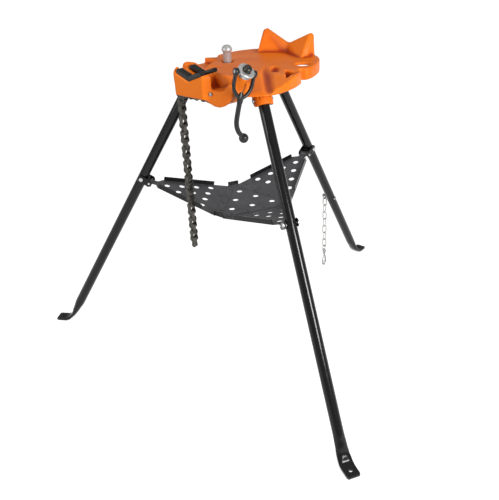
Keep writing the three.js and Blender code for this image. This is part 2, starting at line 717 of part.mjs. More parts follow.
function makeBracket() {
  const ear = [
    [8, -12], [12, -6], [12, 6], [8, 12], [-30, 12], [-37, 6], [-37, -6], [-30, -12],
  ];
  const ears = [
    prismY(ear, bracketHalf, bracketOuter, bracketFrame),
    prismY(ear, -bracketOuter, -bracketHalf, bracketFrame),
  ];
  const webX = -tubeR - TOUCH_GAP;
  const web = block(webX - BRACKET_SHEET, webX, -bracketOuter, bracketOuter, -12, 12, bracketFrame);
  const pivot = bracketFrame.clone().multiply(shift(-TRAY_PIVOT_OFFSET, 0, 0));
  return cut(
    join(...ears, web),
    boreY(boltR + PIN_CLEARANCE, -60, 60, 8, bracketFrame),
    boreY(wingPinR + PIN_CLEARANCE, -60, 60, 8, pivot),
  );
}

function makeBolt() {
  const out = bracketOuter + TOUCH_GAP;
  return join(
    rodY(boltR, -out - 3, out + 3, 8, bracketFrame),
    rodY(7, out, out + 5, 6, bracketFrame),
    rodY(7, -out - 5, -out, 6, bracketFrame),
  );
}

// Tray wing, drawn flat with its pivot at the origin and its inner edge towards -X
const pivotR = LEG_HINGE_R + pivotS * Math.sin(splay) - TRAY_PIVOT_OFFSET * Math.cos(splay);
const wingLength = Math.hypot(pivotR - TRAY_RIM_R + TRAY_LAP, TRAY_DROP);
const wingTilt = Math.asin(TRAY_DROP / wingLength);
const wingFrame = shift(pivotR, 0, TRAY_PIVOT_Z).multiply(new THREE.Matrix4().makeRotationY(-wingTilt));

function wingEdge(x) {
  const t = THREE.MathUtils.clamp((x - WING_NECK) / (wingLength - WING_NECK), 0, 1);
  return WING_NECK_HALF + t * (WING_HALF_WIDTH - WING_NECK_HALF);
}

function makeWing() {
  const half = [
    [0, 13], [WING_NECK - 10, 13], [WING_NECK, WING_NECK_HALF], [wingLength, WING_HALF_WIDTH],
  ];
  const right = half.map(([x, y]) => [-x, y]);
  const left = half.map(([x, y]) => [-x, -y]).reverse();
  const top = TRAY_SHEET / 2;
  const sheet = prismZ([...right, ...left], -top, top);
  const flanges = [-1, 1].map((side) => {
    const edge = [WING_NECK + 4, wingLength - 48].map((x) => [x, wingEdge(x)]);
    const inner = edge.map(([x, y]) => [-x, side * (y - TRAY_SHEET)]).reverse();
    const strip = [...edge.map(([x, y]) => [-x, side * y]), ...inner];
    return prismZ(side > 0 ? strip : strip.reverse(), -top, WING_FLANGE);
  });
  const barrel = rodY(6.6, -13, 13, 12);
  const holes = [];
  const firstRow = WING_NECK + 24;
  for (let i = 0; firstRow + i * TRAY_HOLE_PITCH < wingLength - TRAY_HINGE_BAND; i++) {
    const x = firstRow + i * TRAY_HOLE_PITCH;
    const start = i % 2 === 0 ? 0 : TRAY_HOLE_PITCH / 2;
    for (let y = start; y + TRAY_HOLE / 2 + 5 < wingEdge(x); y += TRAY_HOLE_PITCH) {
      holes.push([x, y]);
      if (y > 0) holes.push([x, -y]);
    }
  }
  const drills = holes.map(([x, y]) => rodZ(TRAY_HOLE / 2, -10, 5, 10, shift(-x, y, 0)));
  const bore = boreY(wingPinR + PIN_CLEARANCE, -60, 60, 8);
  return cut(join(sheet, ...flanges, barrel), bore, ...drills);
}

const wing = makeWing();
Object.entries(LEG_AZIMUTHS).forEach(([name, azimuth]) => {
  const turn = turnZ(azimuth);
  const holes = [[0, pinR + PIN_CLEARANCE], [pivotS, boltR + PIN_CLEARANCE]];
  if (name === 'rear') holes.push([retainerS, 4 + PIN_CLEARANCE]);
  add(`leg_${name}`, makeLeg(holes), BLACK, turn);
  add(`leg_pin_${name}`, rodY(pinR, -30, 30, 10, legFrame), ZINC, turn);
  add(`tray_bracket_${name}`, makeBracket(), BLACK, turn);
  add(`bracket_bolt_${name}`, makeBolt(), ZINC, turn);
  const pivot = bracketFrame.clone().multiply(shift(-TRAY_PIVOT_OFFSET, 0, 0));
  add(`wing_pin_${name}`, rodY(wingPinR, -bracketOuter - 2, bracketOuter + 2, 8, pivot), ZINC, turn);
  add(`tray_wing_${name}`, wing, TRAY, turn.clone().multiply(wingFrame));
});

// Tray centre plate, which laps over the inner edges of the three wings
const plateZ = TRAY_PIVOT_Z - TRAY_DROP + TRAY_SHEET / 2 + 0.8;
const plateCorners = Object.values(LEG_AZIMUTHS).flatMap((azimuth) =>
  [-WING_HALF_WIDTH, WING_HALF_WIDTH].map((y) => {
    const p = new THREE.Vector3(TRAY_RIM_R, y, 0).applyMatrix4(turnZ(azimuth));
    return [p.x, p.y];
  }),
);
const plateHoles = [];
for (let i = 0; i < 6; i++) {
  const t = rad(60 * i + 30);
  const r = i % 2 === 0 ? TRAY_RIM_R - 8 : TRAY_RIM_R - 46;
  plateHoles.push([r * Math.cos(t), r * Math.sin(t)]);
}
const plateDrills = plateHoles.map(([x, y]) => rodZ(TRAY_HOLE / 2, 400, 600, 10, shift(x, y, 0)));
const lipR = TRAY_RIM_R * Math.cos(rad(60)) + WING_HALF_WIDTH * Math.sin(rad(60));
const lipHalf = TRAY_RIM_R * Math.sin(rad(60)) - WING_HALF_WIDTH * Math.cos(rad(60));
const lips = Object.values(LEG_AZIMUTHS).map((azimuth) =>
  block(lipR - TRAY_SHEET, lipR, -lipHalf, lipHalf, plateZ, plateZ + WING_FLANGE, turnZ(azimuth + 60)),
);
const plateSheet = prismZ(plateCorners, plateZ, plateZ + TRAY_SHEET);
add('tray_plate', cut(join(plateSheet, ...lips), ...plateDrills), TRAY);

// Retaining chain with its bolt and snap hook, beside the rear leg
const rearTurn = turnZ(LEG_AZIMUTHS.rear);
const [retainerR] = legAt(retainerS);
const side = RETAINER_SIDE;
const retainerBolt = join(
  rodY(4, -21, side + 7, 12),
  rodY(7, -21, -tubeR - TOUCH_GAP, 6),
  rodY(7, tubeR + TOUCH_GAP, side - 4, 6),
  rodY(6.5, side + 4.6, side + 8, 12),
);
add('retainer_bolt', retainerBolt, ZINC, rearTurn.clone().multiply(shift(retainerR, 0, RETAINER_Z)));

const wire = RETAINER_WIRE;
const upright = new THREE.Matrix4().makeRotationX(Math.PI / 2);
const facing = (z) => shift(0, side, z).multiply(upright);
const across = (z) => shift(0, side, z).multiply(turnZ(90)).multiply(upright);
const topRing = RETAINER_Z - 3.4;
const linkStraight = (RETAINER_PITCH - 1.2) / 2 + wire - LINK_HALF_WIDTH;
const linkHalf = LINK_HALF_WIDTH + linkStraight;
const firstLink = topRing - 10 + 4 - linkHalf;
const retainerLinks = [];
for (let i = 0; i < RETAINER_LINKS; i++) {
  const z = firstLink - i * RETAINER_PITCH;
  const frame = i % 2 === 0 ? across(z) : facing(z);
  retainerLinks.push(ovalLink(LINK_HALF_WIDTH, wire, linkStraight, frame));
}
const lowRing = firstLink - (RETAINER_LINKS - 1) * RETAINER_PITCH - linkHalf + 4 - LOW_RING_R;
const retainer = join(
  ring(10, wire, 5, 12, facing(topRing)),
  ...retainerLinks,
  ring(LOW_RING_R, wire, 5, 14, RETAINER_LINKS % 2 === 0 ? across(lowRing) : facing(lowRing)),
);
add('retainer_chain', retainer, ZINC, rearTurn.clone().multiply(shift(retainerR, 0, 0)));

const hookEye = lowRing - LOW_RING_R + wire + 0.5 + 2.4 - 6.5;
const hookFrame = rearTurn.clone().multiply(shift(retainerR, 0, 0));
const hookTop = hookEye - 8;
const hook = join(
  ring(6.5, 2.4, 5, 12, across(hookEye)),
  rodZ(4.2, hookTop - 8, hookTop + 1.5, 10, shift(0, side, 0)),
  bentRod(
    [
      [0, side, hookTop - 4], [5, side, hookTop - 16], [9, side, hookTop - 30], [9, side, hookTop - 46],
      [0, side, hookTop - 56], [-9, side, hookTop - 48], [-9, side, hookTop - 34],
    ],
    3,
    14,
    6,
  ),
);
const gateTop = hookTop - 12;
const gate = bentRod(
  [[-4.5, side, gateTop], [-7.5, side, gateTop - 10], [-9, side, gateTop - 21]],
  1.8,
  4,
  6,
);
add('snap_hook', hook, ZINC, hookFrame);
add('snap_gate', gate, ZINC, hookFrame);

// The origin goes to the middle of the foot print
const box = new THREE.Box3().setFromObject(stand);
stand.position.set(-(box.min.x + box.max.x) / 2, -(box.min.y + box.max.y) / 2, -box.min.z);
const group = new THREE.Group();
group.add(stand);

export default group;
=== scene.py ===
import json
import math

import bmesh
import bpy
import numpy
from mathutils import Matrix, Vector


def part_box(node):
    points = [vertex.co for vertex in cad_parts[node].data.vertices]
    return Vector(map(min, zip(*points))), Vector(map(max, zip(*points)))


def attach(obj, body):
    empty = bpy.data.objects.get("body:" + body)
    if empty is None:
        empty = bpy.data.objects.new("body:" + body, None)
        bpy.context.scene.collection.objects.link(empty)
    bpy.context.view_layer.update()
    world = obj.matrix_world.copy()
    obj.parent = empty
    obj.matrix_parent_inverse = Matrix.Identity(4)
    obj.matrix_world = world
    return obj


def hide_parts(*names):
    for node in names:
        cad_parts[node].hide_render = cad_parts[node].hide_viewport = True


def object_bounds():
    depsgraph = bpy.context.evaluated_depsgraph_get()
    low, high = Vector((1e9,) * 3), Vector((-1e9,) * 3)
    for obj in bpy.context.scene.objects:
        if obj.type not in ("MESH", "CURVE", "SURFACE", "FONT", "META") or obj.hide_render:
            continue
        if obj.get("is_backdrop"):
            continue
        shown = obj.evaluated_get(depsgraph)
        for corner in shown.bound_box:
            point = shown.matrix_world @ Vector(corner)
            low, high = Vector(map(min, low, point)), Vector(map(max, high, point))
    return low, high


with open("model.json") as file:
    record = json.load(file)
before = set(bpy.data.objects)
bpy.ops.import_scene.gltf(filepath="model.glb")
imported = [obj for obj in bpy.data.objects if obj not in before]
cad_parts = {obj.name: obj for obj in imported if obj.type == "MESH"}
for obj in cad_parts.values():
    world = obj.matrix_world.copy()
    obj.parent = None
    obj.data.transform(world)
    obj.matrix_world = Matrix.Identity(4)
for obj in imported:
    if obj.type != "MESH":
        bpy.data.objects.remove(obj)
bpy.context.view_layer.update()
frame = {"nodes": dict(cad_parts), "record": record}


# Vise base
# One ductile iron casting: a table on three leg sockets with a jaw block, a clamp arm, a V rest, a
# bending groove, pockets and a lug hole. Sand cast, fettled and sprayed with enamel.
MM = 0.001
SAME_POINT = 1e-5
HINGE_R = 161.6 * MM
CHAIN_SETBACK = 185 * MM
VALLEY_FLOOR = (48, 25.2, 17)
VALLEY_FLOOR_X = 71 * MM
VALLEY_FLOOR_Z = 910 * MM
RECESS_SECTION = [(0, 920), (16.4, 920), (18.4, 924), (19.6, 928), (21, 934), (0, 934)]
SOCKET_TRIM = (900, 900, 34)
SOCKET_TRIM_Z = 840 * MM
CAST_SKIN = 2.7 * MM
CAST_SMOOTHING = 7
# Painted shade: how deep a hollow must be for full darkening, and the smoothing rounds that find it
SHADE_HOLLOW_DEPTH = 3.0 * MM
SHADE_HOLLOW_ROUNDS = 40
ENAMEL = (0.86, 0.198, 0.011)
ENAMEL_DEEP = (0.79, 0.152, 0.008)
# Painted shade: the enamel colour used where shade falls in grooves, pockets and inside corners
PAINTED_SHADE_IN_HOLLOWS = (0.40, 0.042, 0.005)


def shown(name, mesh):
    piece = bpy.data.objects.new(name, mesh)
    bpy.context.scene.collection.objects.link(piece)
    return piece


def opened(mesh):
    work = bmesh.new()
    work.from_mesh(mesh)
    return work


def merged_copy(node):
    mesh = frame["nodes"][node].data.copy()
    work = opened(mesh)
    bmesh.ops.remove_doubles(work, verts=work.verts, dist=SAME_POINT)
    work.to_mesh(mesh)
    work.free()
    mesh.materials.clear()
    return shown(node + "_made", mesh)


def baked_mesh(piece):
    bpy.context.view_layer.update()
    evaluated = piece.evaluated_get(bpy.context.evaluated_depsgraph_get())
    return bpy.data.meshes.new_from_object(evaluated)


def frozen(piece):
    mesh = baked_mesh(piece)
    piece.modifiers.clear()
    piece.data = mesh
    return piece


def finished(piece, material, node, sharp=30.0, extra=False):
    mesh = piece.data
    mesh.materials.clear()
    mesh.materials.append(material)
    for face in mesh.polygons:
        face.use_smooth = True
        face.material_index = 0
    mesh.set_sharp_from_angle(angle=math.radians(sharp))
    bodies = frame["record"]["behaviour"]["bodies"]
    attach(piece, next(body for body, members in bodies.items() if node in members))
    if not extra:
        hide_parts(node)
    return piece


def new_group(name, kind, inputs, outputs):
    group = bpy.data.node_groups.new(name, kind)
    for way, labels in (("INPUT", inputs), ("OUTPUT", outputs)):
        for label, socket in labels.items():
            group.interface.new_socket(label, in_out=way, socket_type="NodeSocket" + socket)
    group_in = group.nodes.new("NodeGroupInput")
    group_out = group.nodes.new("NodeGroupOutput")
    return group, group_in.outputs, group_out.inputs


def feed(tree, socket, value):
    if isinstance(value, bpy.types.NodeSocket):
        tree.links.new(value, socket)
    else:
        socket.default_value = value


def step(tree, kind, feeds, **settings):
    node = tree.nodes.new(kind)
    for label, value in settings.items():
        setattr(node, label, value)
    for label, value in feeds.items():
        feed(tree, node.inputs[label], value)
    return node


# Unevenness of a finish, and the cloud of handling marks that lies on it
grain_group, grain_in, grain_out = new_group(
    "finish grain", "ShaderNodeTree",
    {"Grain scale": "Float", "Cloud scale": "Float"}, {"Height": "Float", "Cloud": "Float"},
)
grain_place = step(grain_group, "ShaderNodeTexCoord", {})
for label, output, detail in (("Grain scale", "Height", 3.0), ("Cloud scale", "Cloud", 5.0)):
    noise = step(grain_group, "ShaderNodeTexNoise", {
        "Vector": grain_place.outputs["Object"], "Scale": grain_in[label],
        "Detail": detail, "Roughness": 0.6,
    })
    feed(grain_group, grain_out[output], noise.outputs["Fac"])


def finish(name, light, dark, metal, rough, grain_scale, relief, cloud_scale, shine=0.5):
    material = bpy.data.materials.new(name)
    material.use_nodes = True
    tree = material.node_tree
    grain = step(
        tree, "ShaderNodeGroup", {"Grain scale": grain_scale, "Cloud scale": cloud_scale},
        node_tree=grain_group,
    )
    colours = step(tree, "ShaderNodeValToRGB", {"Fac": grain.outputs["Cloud"]})
    for stop, place, colour in zip(colours.color_ramp.elements, (0.32, 0.62), (dark, light)):
        stop.position = place
        stop.color = (*colour, 1.0)
    roughness = step(tree, "ShaderNodeMapRange", {
        "Value": grain.outputs["Cloud"], "To Min": rough[1], "To Max": rough[0],
    })
    bump = step(tree, "ShaderNodeBump", {
        "Height": grain.outputs["Height"], "Strength": relief, "Distance": MM,
    })
    shader = tree.nodes["Principled BSDF"]
    feed(tree, shader.inputs["Base Color"], colours.outputs["Color"])
    feed(tree, shader.inputs["Metallic"], metal)
    feed(tree, shader.inputs["Roughness"], roughness.outputs["Result"])
    feed(tree, shader.inputs["Specular IOR Level"], shine)
    feed(tree, shader.inputs["Normal"], bump.outputs["Normal"])
    return material


def mesh_of(name, *works):
    whole = bmesh.new()
    for work in works:
        part = bpy.data.meshes.new("part")
        work.to_mesh(part)
        work.free()
        whole.from_mesh(part)
        bpy.data.meshes.remove(part)
    mesh = bpy.data.meshes.new(name)
    whole.to_mesh(mesh)
    whole.free()
    return mesh


def placed(work, place):
    bmesh.ops.transform(work, matrix=place, verts=work.verts)
    return work


# A body of revolution from (radius, height) pairs in millimetres, closed at both ends
def turned(section, sides, place=None):
    work = bmesh.new()
    rings = []
    for radius, z in section:
        rings.append([
            work.verts.new((
                radius * MM * math.cos(2 * math.pi * i / sides),
                radius * MM * math.sin(2 * math.pi * i / sides),
                z * MM,
            ))
            for i in range(sides if radius else 1)
        ])
    for lower, upper in zip(rings, rings[1:]):
        for i in range(sides):
            j = (i + 1) % sides
            corners = [
                lower[i % len(lower)], lower[j % len(lower)],
                upper[j % len(upper)], upper[i % len(upper)],
            ]
            work.faces.new(list(dict.fromkeys(corners)))
    if section[0] == section[-1]:
        bmesh.ops.remove_doubles(work, verts=work.verts, dist=SAME_POINT)
    else:
        for cap in (rings[0][::-1], rings[-1]):
            if len(cap) > 1:
                work.faces.new(cap)
    bmesh.ops.recalc_face_normals(work, faces=work.faces)
    return placed(work, place) if place else work


def block(size, place):
    work = bmesh.new()
    scale = Matrix.Diagonal((*(edge * MM for edge in size), 1.0))
    bmesh.ops.create_cube(work, size=1.0, matrix=place @ scale)
    return work


def middle(node):
    low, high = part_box(node)
    return [(a + b) / 2 for a, b in zip(low, high)]


# Painted shade: marks each point by how far it lies sunk below its smoothed surroundings, high in
# grooves, pockets and inside corners
def mark_painted_shade(mesh, depth, rounds):
    count = len(mesh.vertices)
    places = numpy.empty(count * 3)
    normals = numpy.empty(count * 3)
    ends = numpy.empty(len(mesh.edges) * 2, dtype=int)
    mesh.vertices.foreach_get("co", places)
    mesh.vertices.foreach_get("normal", normals)
    mesh.edges.foreach_get("vertices", ends)
    places, normals, ends = places.reshape(-1, 3), normals.reshape(-1, 3), ends.reshape(-1, 2)
    near = numpy.concatenate((ends[:, 0], ends[:, 1]))
    far = numpy.concatenate((ends[:, 1], ends[:, 0]))
    neighbours = numpy.bincount(near, minlength=count)
    evened = places.copy()
    for _ in range(rounds):
        for axis in range(3):
            sums = numpy.bincount(near, weights=evened[far, axis], minlength=count)
            evened[:, axis] = sums / neighbours
    sunk = ((evened - places) * normals).sum(axis=1) / depth
    mark = mesh.attributes.new("painted_shade_mask", "FLOAT", "POINT")
    mark.data.foreach_set("value", numpy.clip(sunk, 0.0, 1.0))


tripod_y = middle("leg_pin_rear")[1] - HINGE_R
chain_y = tripod_y - CHAIN_SETBACK
brace_x, brace_y, _ = middle("brace_screw")
valley_floor = shown("valley_floor", mesh_of(
    "valley floor",
    block(VALLEY_FLOOR, Matrix.Translation((VALLEY_FLOOR_X, chain_y, VALLEY_FLOOR_Z))),
))
hollows = shown("cast_hollows", mesh_of(
    "cast hollows",
    turned(RECESS_SECTION, 48, Matrix.Translation((brace_x, brace_y, 0.0))),
    block(SOCKET_TRIM, Matrix.Translation((0.0, tripod_y, SOCKET_TRIM_Z))),
))
casting = merged_copy("vise_base")
for helper, operation in ((valley_floor, "UNION"), (hollows, "DIFFERENCE")):
    worked = casting.modifiers.new(helper.name, "BOOLEAN")
    worked.object = helper
    worked.operation = operation
    worked.solver = "EXACT"
skin = casting.modifiers.new("cast skin", "REMESH")
skin.mode = "VOXEL"
skin.voxel_size = CAST_SKIN
softened = casting.modifiers.new("cast corners", "SMOOTH")
softened.factor = 0.5
softened.iterations = CAST_SMOOTHING
frozen(casting)
for helper in (valley_floor, hollows):
    bpy.data.objects.remove(helper)

orange_enamel = finish(
    "orange_enamel", ENAMEL, ENAMEL_DEEP, metal=0.0, rough=(0.34, 0.46),
    grain_scale=220.0, relief=0.20, cloud_scale=9.0, shine=0.16,
)
mark_painted_shade(casting.data, SHADE_HOLLOW_DEPTH, SHADE_HOLLOW_ROUNDS)
enamel_tree = orange_enamel.node_tree
enamel_colour = enamel_tree.nodes["Principled BSDF"].inputs["Base Color"]
# Painted shade: the enamel is mixed toward a dark red where the mark is high, standing in for shade
# in the hollows
painted_shade_mark = step(enamel_tree, "ShaderNodeAttribute", {}, attribute_name="painted_shade_mask")
with_painted_shade = step(
    enamel_tree, "ShaderNodeMix",
    {
        "Factor": painted_shade_mark.outputs["Fac"], "A": enamel_colour.links[0].from_socket,
        "B": (*PAINTED_SHADE_IN_HOLLOWS, 1.0),
    },
    data_type="RGBA",
)
feed(enamel_tree, enamel_colour, with_painted_shade.outputs["Result"])
finished(casting, orange_enamel, "vise_base", sharp=180.0)


# Jaw bars
# Two forged and hardened V bars with cut teeth, blackened, each lying in its seat on the jaw block.
# One screw from below holds each bar.
BAR_SLOPE = 0.3605
BAR_VALLEY_Z = 949.1 * MM
BAR_EDGE = 1.6 * MM
TOOTH_PITCH = 4.6 * MM
TOOTH_COUNT = 8
TOOTH_SIZE = 2.4 * MM
TOOTH_SINK = 0.6 * MM
TOOTH_END = 1.5 * MM
black_steel = finish(
    "blackened_steel", (0.030, 0.030, 0.030), (0.014, 0.014, 0.014), metal=0.55,
    rough=(0.34, 0.52), grain_scale=420.0, relief=0.3, cloud_scale=70.0,
)


def made_by(piece, tree, values):
    modifier = piece.modifiers.new(tree.name, "NODES")
    modifier.node_group = tree
    for item in tree.interface.items_tree:
        if item.item_type == "SOCKET" and item.in_out == "INPUT" and item.name in values:
            modifier[item.identifier] = values[item.name]
    return frozen(piece)


def geometry_tree(name, **inputs):
    named = {label.replace("_", " "): kind for label, kind in inputs.items()}
    return new_group(
        name, "GeometryNodeTree", {"Geometry": "Geometry", **named}, {"Geometry": "Geometry"}
    )


def closing(tree, geometry, material, group_out):
    real = step(tree, "GeometryNodeRealizeInstances", {"Geometry": geometry})
    paint = step(tree, "GeometryNodeSetMaterial", {
        "Geometry": real.outputs["Geometry"], "Material": material,
    })
    feed(tree, group_out["Geometry"], paint.outputs["Geometry"])


def reckoned(tree, a, b, operation="MULTIPLY"):
    return step(tree, "ShaderNodeMath", {0: a, 1: b}, operation=operation).outputs["Value"]


def vector(tree, x, y, z):
    return step(tree, "ShaderNodeCombineXYZ", {"X": x, "Y": y, "Z": z}).outputs["Vector"]


def row(tree, count, first, stride):
    return step(
        tree, "GeometryNodeMeshLine",
        {"Count": count, "Start Location": first, "Offset": stride}, mode="OFFSET",
    ).outputs["Mesh"]


def laid(tree, points, instance, **feeds):
    return step(tree, "GeometryNodeInstanceOnPoints", {
        "Points": points, "Instance": instance, **feeds,
    }).outputs["Instances"]


teeth_tree, teeth_in, teeth_out = geometry_tree(
    "jaw teeth", Count="Int", Pitch="Float", Slope="Float", Size="Float", Length="Float",
    Middle="Vector", Material="Material",
)
tooth = step(teeth_tree, "GeometryNodeMeshCube", {
    "Size": vector(teeth_tree, teeth_in["Size"], teeth_in["Length"], teeth_in["Size"]),
})
with_bar = step(teeth_tree, "GeometryNodeJoinGeometry", {"Geometry": teeth_in["Geometry"]})
for side in (1.0, -1.0):
    stride = vector(
        teeth_tree, reckoned(teeth_tree, teeth_in["Pitch"], side), 0.0,
        reckoned(teeth_tree, teeth_in["Pitch"], teeth_in["Slope"]),
    )
    first = step(
        teeth_tree, "ShaderNodeVectorMath", {0: teeth_in["Middle"], 1: stride}, operation="ADD"
    )
    teeth_row = row(teeth_tree, teeth_in["Count"], first.outputs["Vector"], stride)
    lean = math.radians(45.0) - side * math.atan(BAR_SLOPE)
    teeth_laid = laid(teeth_tree, teeth_row, tooth.outputs["Mesh"], Rotation=(0.0, lean, 0.0))
    feed(teeth_tree, with_bar.inputs["Geometry"], teeth_laid)
closing(teeth_tree, with_bar.outputs["Geometry"], teeth_in["Material"], teeth_out)


def eased(piece, width, segments=2):
    bevel = piece.modifiers.new("eased edges", "BEVEL")
    bevel.width = width
    bevel.segments = segments
    bevel.limit_method = "ANGLE"
    bevel.angle_limit = math.radians(30.0)
    return frozen(piece)


for node in ("jaw_bar_front", "jaw_bar_rear"):
    low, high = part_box(node)
    bar_x, bar_y, _ = middle(node)
    bar = made_by(eased(merged_copy(node), BAR_EDGE, 3), teeth_tree, {
        "Count": TOOTH_COUNT, "Pitch": TOOTH_PITCH, "Slope": BAR_SLOPE, "Size": TOOTH_SIZE,
        "Length": high[1] - low[1] - 2 * TOOTH_END,
        "Middle": (bar_x, bar_y, BAR_VALLEY_Z - TOOTH_SINK), "Material": black_steel,
    })
    finished(bar, black_steel, node)


# Jaw screws, chain guide pin and leg pins
# Plain turned steel fasteners with dulled zinc plate: the screws hold the jaw bars from below, the
# guide pin keeps the chain in its way, and the leg pins are pressed across the three sockets.
FASTENER_EDGE = 0.5 * MM
dull_zinc = finish(
    "dull_zinc_plate", (0.42, 0.42, 0.415), (0.25, 0.25, 0.247), metal=0.80,
    rough=(0.28, 0.44), grain_scale=600.0, relief=0.1, cloud_scale=70.0,
)


def eased_copy(node, width, material):
    return finished(eased(merged_copy(node), width), material, node)


for node in ("jaw_screw_front", "jaw_screw_rear", "chain_guide_pin",
             "leg_pin_rear", "leg_pin_left", "leg_pin_right"):
    eased_copy(node, FASTENER_EDGE, dull_zinc)


# Clamp chain
# A hardened leaf chain of waisted side plates, solid inner blocks and headed rivets. The lead runs
# from the screw under the jaw block, and three lengths of seven links hang from its end.
CHAIN_PITCH = 23 * MM
RUN_LINKS = 7
PLATE_INSIDE = 7.3 * MM
PLATE_OUTSIDE = 10.3 * MM
PLATE_WIDTH = 17 * MM
PLATE_WAIST = 11.5 * MM
PLATE_EDGE = 0.6 * MM
BLOCK_HALF = 6.9 * MM
BLOCK_WIDTH = 14.4 * MM
BLOCK_WAIST = 10.5 * MM
BLOCK_EDGE = 1.2 * MM
RIVET_HALF = [(3.2, 10.0), (4.0, 10.2), (2.6, 10.9), (0, 11.0)]
SCREW_TILT = math.radians(48.0)
SCREW_REACH = 118 * MM
oiled_steel = finish(
    "oiled_steel", (0.092, 0.087, 0.074), (0.026, 0.024, 0.021), metal=0.80,
    rough=(0.20, 0.42), grain_scale=500.0, relief=0.2, cloud_scale=90.0,
)


def extruded(loop, offset):
    work = bmesh.new()
    flat = work.faces.new([work.verts.new(corner) for corner in loop])
    raised = bmesh.ops.extrude_face_region(work, geom=[flat])
    far_side = [v for v in raised["geom"] if isinstance(v, bmesh.types.BMVert)]
    bmesh.ops.translate(work, verts=far_side, vec=offset)
    bmesh.ops.recalc_face_normals(work, faces=work.faces)
    return work


def waisted_plate(width, waist, near, far):
    turns = [math.radians(-14 + 104 * k / 8) for k in range(9)]
    head = [(width / 2 * math.cos(turn), width / 2 * math.sin(turn)) for turn in turns]
    foot = [(x, -CHAIN_PITCH - z) for x, z in reversed(head)]
    right = foot + [(waist / 2, -CHAIN_PITCH / 2)] + head
    loop = right + [(-x, z) for x, z in reversed(right[1:-1])]
    return extruded([(x, near, z) for x, z in loop], (0.0, far - near, 0.0))


lie = Matrix.Rotation(math.pi / 2, 4, "X")
outer_link = eased(shown("outer_link_pattern", mesh_of(
    "outer link",
    waisted_plate(PLATE_WIDTH, PLATE_WAIST, PLATE_INSIDE, PLATE_OUTSIDE),
    waisted_plate(PLATE_WIDTH, PLATE_WAIST, -PLATE_OUTSIDE, -PLATE_INSIDE),
)), PLATE_EDGE, 1)
inner_link = eased(shown("inner_link_pattern", mesh_of(
    "inner link", waisted_plate(BLOCK_WIDTH, BLOCK_WAIST, -BLOCK_HALF, BLOCK_HALF)
)), BLOCK_EDGE)
rivet_section = [(radius, -z) for radius, z in reversed(RIVET_HALF)] + RIVET_HALF
rivet = shown("rivet_pattern", mesh_of("rivet", turned(rivet_section, 12, lie)))

chain_tree, chain_in, chain_out = geometry_tree(
    "chain run", Links="Int", Pitch="Float", First_outer="Int", First_rivet="Int", Rivets="Int",
    Outer_link="Object", Inner_link="Object", Rivet="Object", Material="Material",
)
drop = reckoned(chain_tree, chain_in["Pitch"], -1.0)
down = vector(chain_tree, 0.0, 0.0, drop)
link_row = row(chain_tree, chain_in["Links"], (0.0, 0.0, 0.0), down)
link_index = step(chain_tree, "GeometryNodeInputIndex", {}).outputs["Index"]
shifted = reckoned(chain_tree, link_index, chain_in["First outer"], "ADD")
odd = reckoned(chain_tree, shifted, 2.0, "MODULO")
even = reckoned(chain_tree, 1.0, odd, "SUBTRACT")
rivet_start = reckoned(chain_tree, drop, chain_in["First rivet"])
rivet_row = row(chain_tree, chain_in["Rivets"], vector(chain_tree, 0.0, 0.0, rivet_start), down)
all_links = step(chain_tree, "GeometryNodeJoinGeometry", {})
for label, points, chosen in (
    ("Outer link", link_row, odd), ("Inner link", link_row, even), ("Rivet", rivet_row, True),
):
    pattern = step(chain_tree, "GeometryNodeObjectInfo", {"Object": chain_in[label]})
    copies = laid(chain_tree, points, pattern.outputs["Geometry"], Selection=chosen)
    feed(chain_tree, all_links.inputs["Geometry"], copies)
closing(chain_tree, all_links.outputs["Geometry"], chain_in["Material"], chain_out)

screw_axis = Vector((math.cos(SCREW_TILT), 0.0, math.sin(SCREW_TILT)))
nut_centre = Vector((170 * MM, chain_y, 973 * MM))
screw_eye = nut_centre - screw_axis * SCREW_REACH
hang_top = screw_eye - Vector((RUN_LINKS * CHAIN_PITCH, 0.0, 0.0))
hang_step = Vector((0.0, 0.0, -RUN_LINKS * CHAIN_PITCH))
sideways = Matrix.Rotation(math.pi / 2, 4, "Y")
for node, first_outer, first_rivet, rivet_count, place in (
    ("chain_lead", 1, 0, 8, Matrix.Translation(screw_eye) @ sideways),
    ("chain_upper", 0, 1, 7, Matrix.Translation(hang_top)),
    ("chain_middle", 1, 1, 7, Matrix.Translation(hang_top + hang_step)),
    ("chain_lower", 0, 1, 6, Matrix.Translation(hang_top + hang_step * 2)),
):
    run = made_by(shown(node + "_made", bpy.data.meshes.new(node)), chain_tree, {
        "Links": RUN_LINKS, "Pitch": CHAIN_PITCH, "First outer": first_outer,
        "First rivet": first_rivet, "Rivets": rivet_count, "Outer link": outer_link,
        "Inner link": inner_link, "Rivet": rivet, "Material": oiled_steel,
    })
    run.data.transform(place)
    finished(run, oiled_steel, node, sharp=35.0)
for pattern in (outer_link, inner_link, rivet):
    bpy.data.objects.remove(pattern)


# Chain screw, clamp nut and handle
# The screw is a turned bar with a rolled thread and a flattened eye. The plated nut runs on it and
# carries a forged black yoke handle on two trunnions, with a ball at the end of its bent shank.
THREAD_PITCH = 4.0
SCREW_CREST = 11.0
SCREW_ROOT = 9.4
SCREW_THREAD_LOW = -70.0
SCREW_TURNS = 22
EYE_BLANK = (20, 13, 22)
EYE_BLANK_Z = -107 * MM
EYE_SECTION = [(0, -6.5), (10, -6.5), (10, 6.5), (0, 6.5)]
NUT_TURN = math.radians(66.0)
NUT_SECTION = [
    (11.5, -8.0), (16.6, -8.0), (17.6, -7.0), (17.6, -2.0), (21.5, 3.2), (23.1, 4.2), (23.1, 8.6),
    (22.2, 9.6), (16.4, 10.0), (15.2, 9.2), (12.4, 9.2), (11.5, 8.4), (11.5, -8.0),
]
TRUNNION_SECTION = [(0, -34), (3.6, -34), (4.5, -33.2), (4.5, 33.2), (3.6, 34), (0, 34)]
YOKE_HALF = 28.0
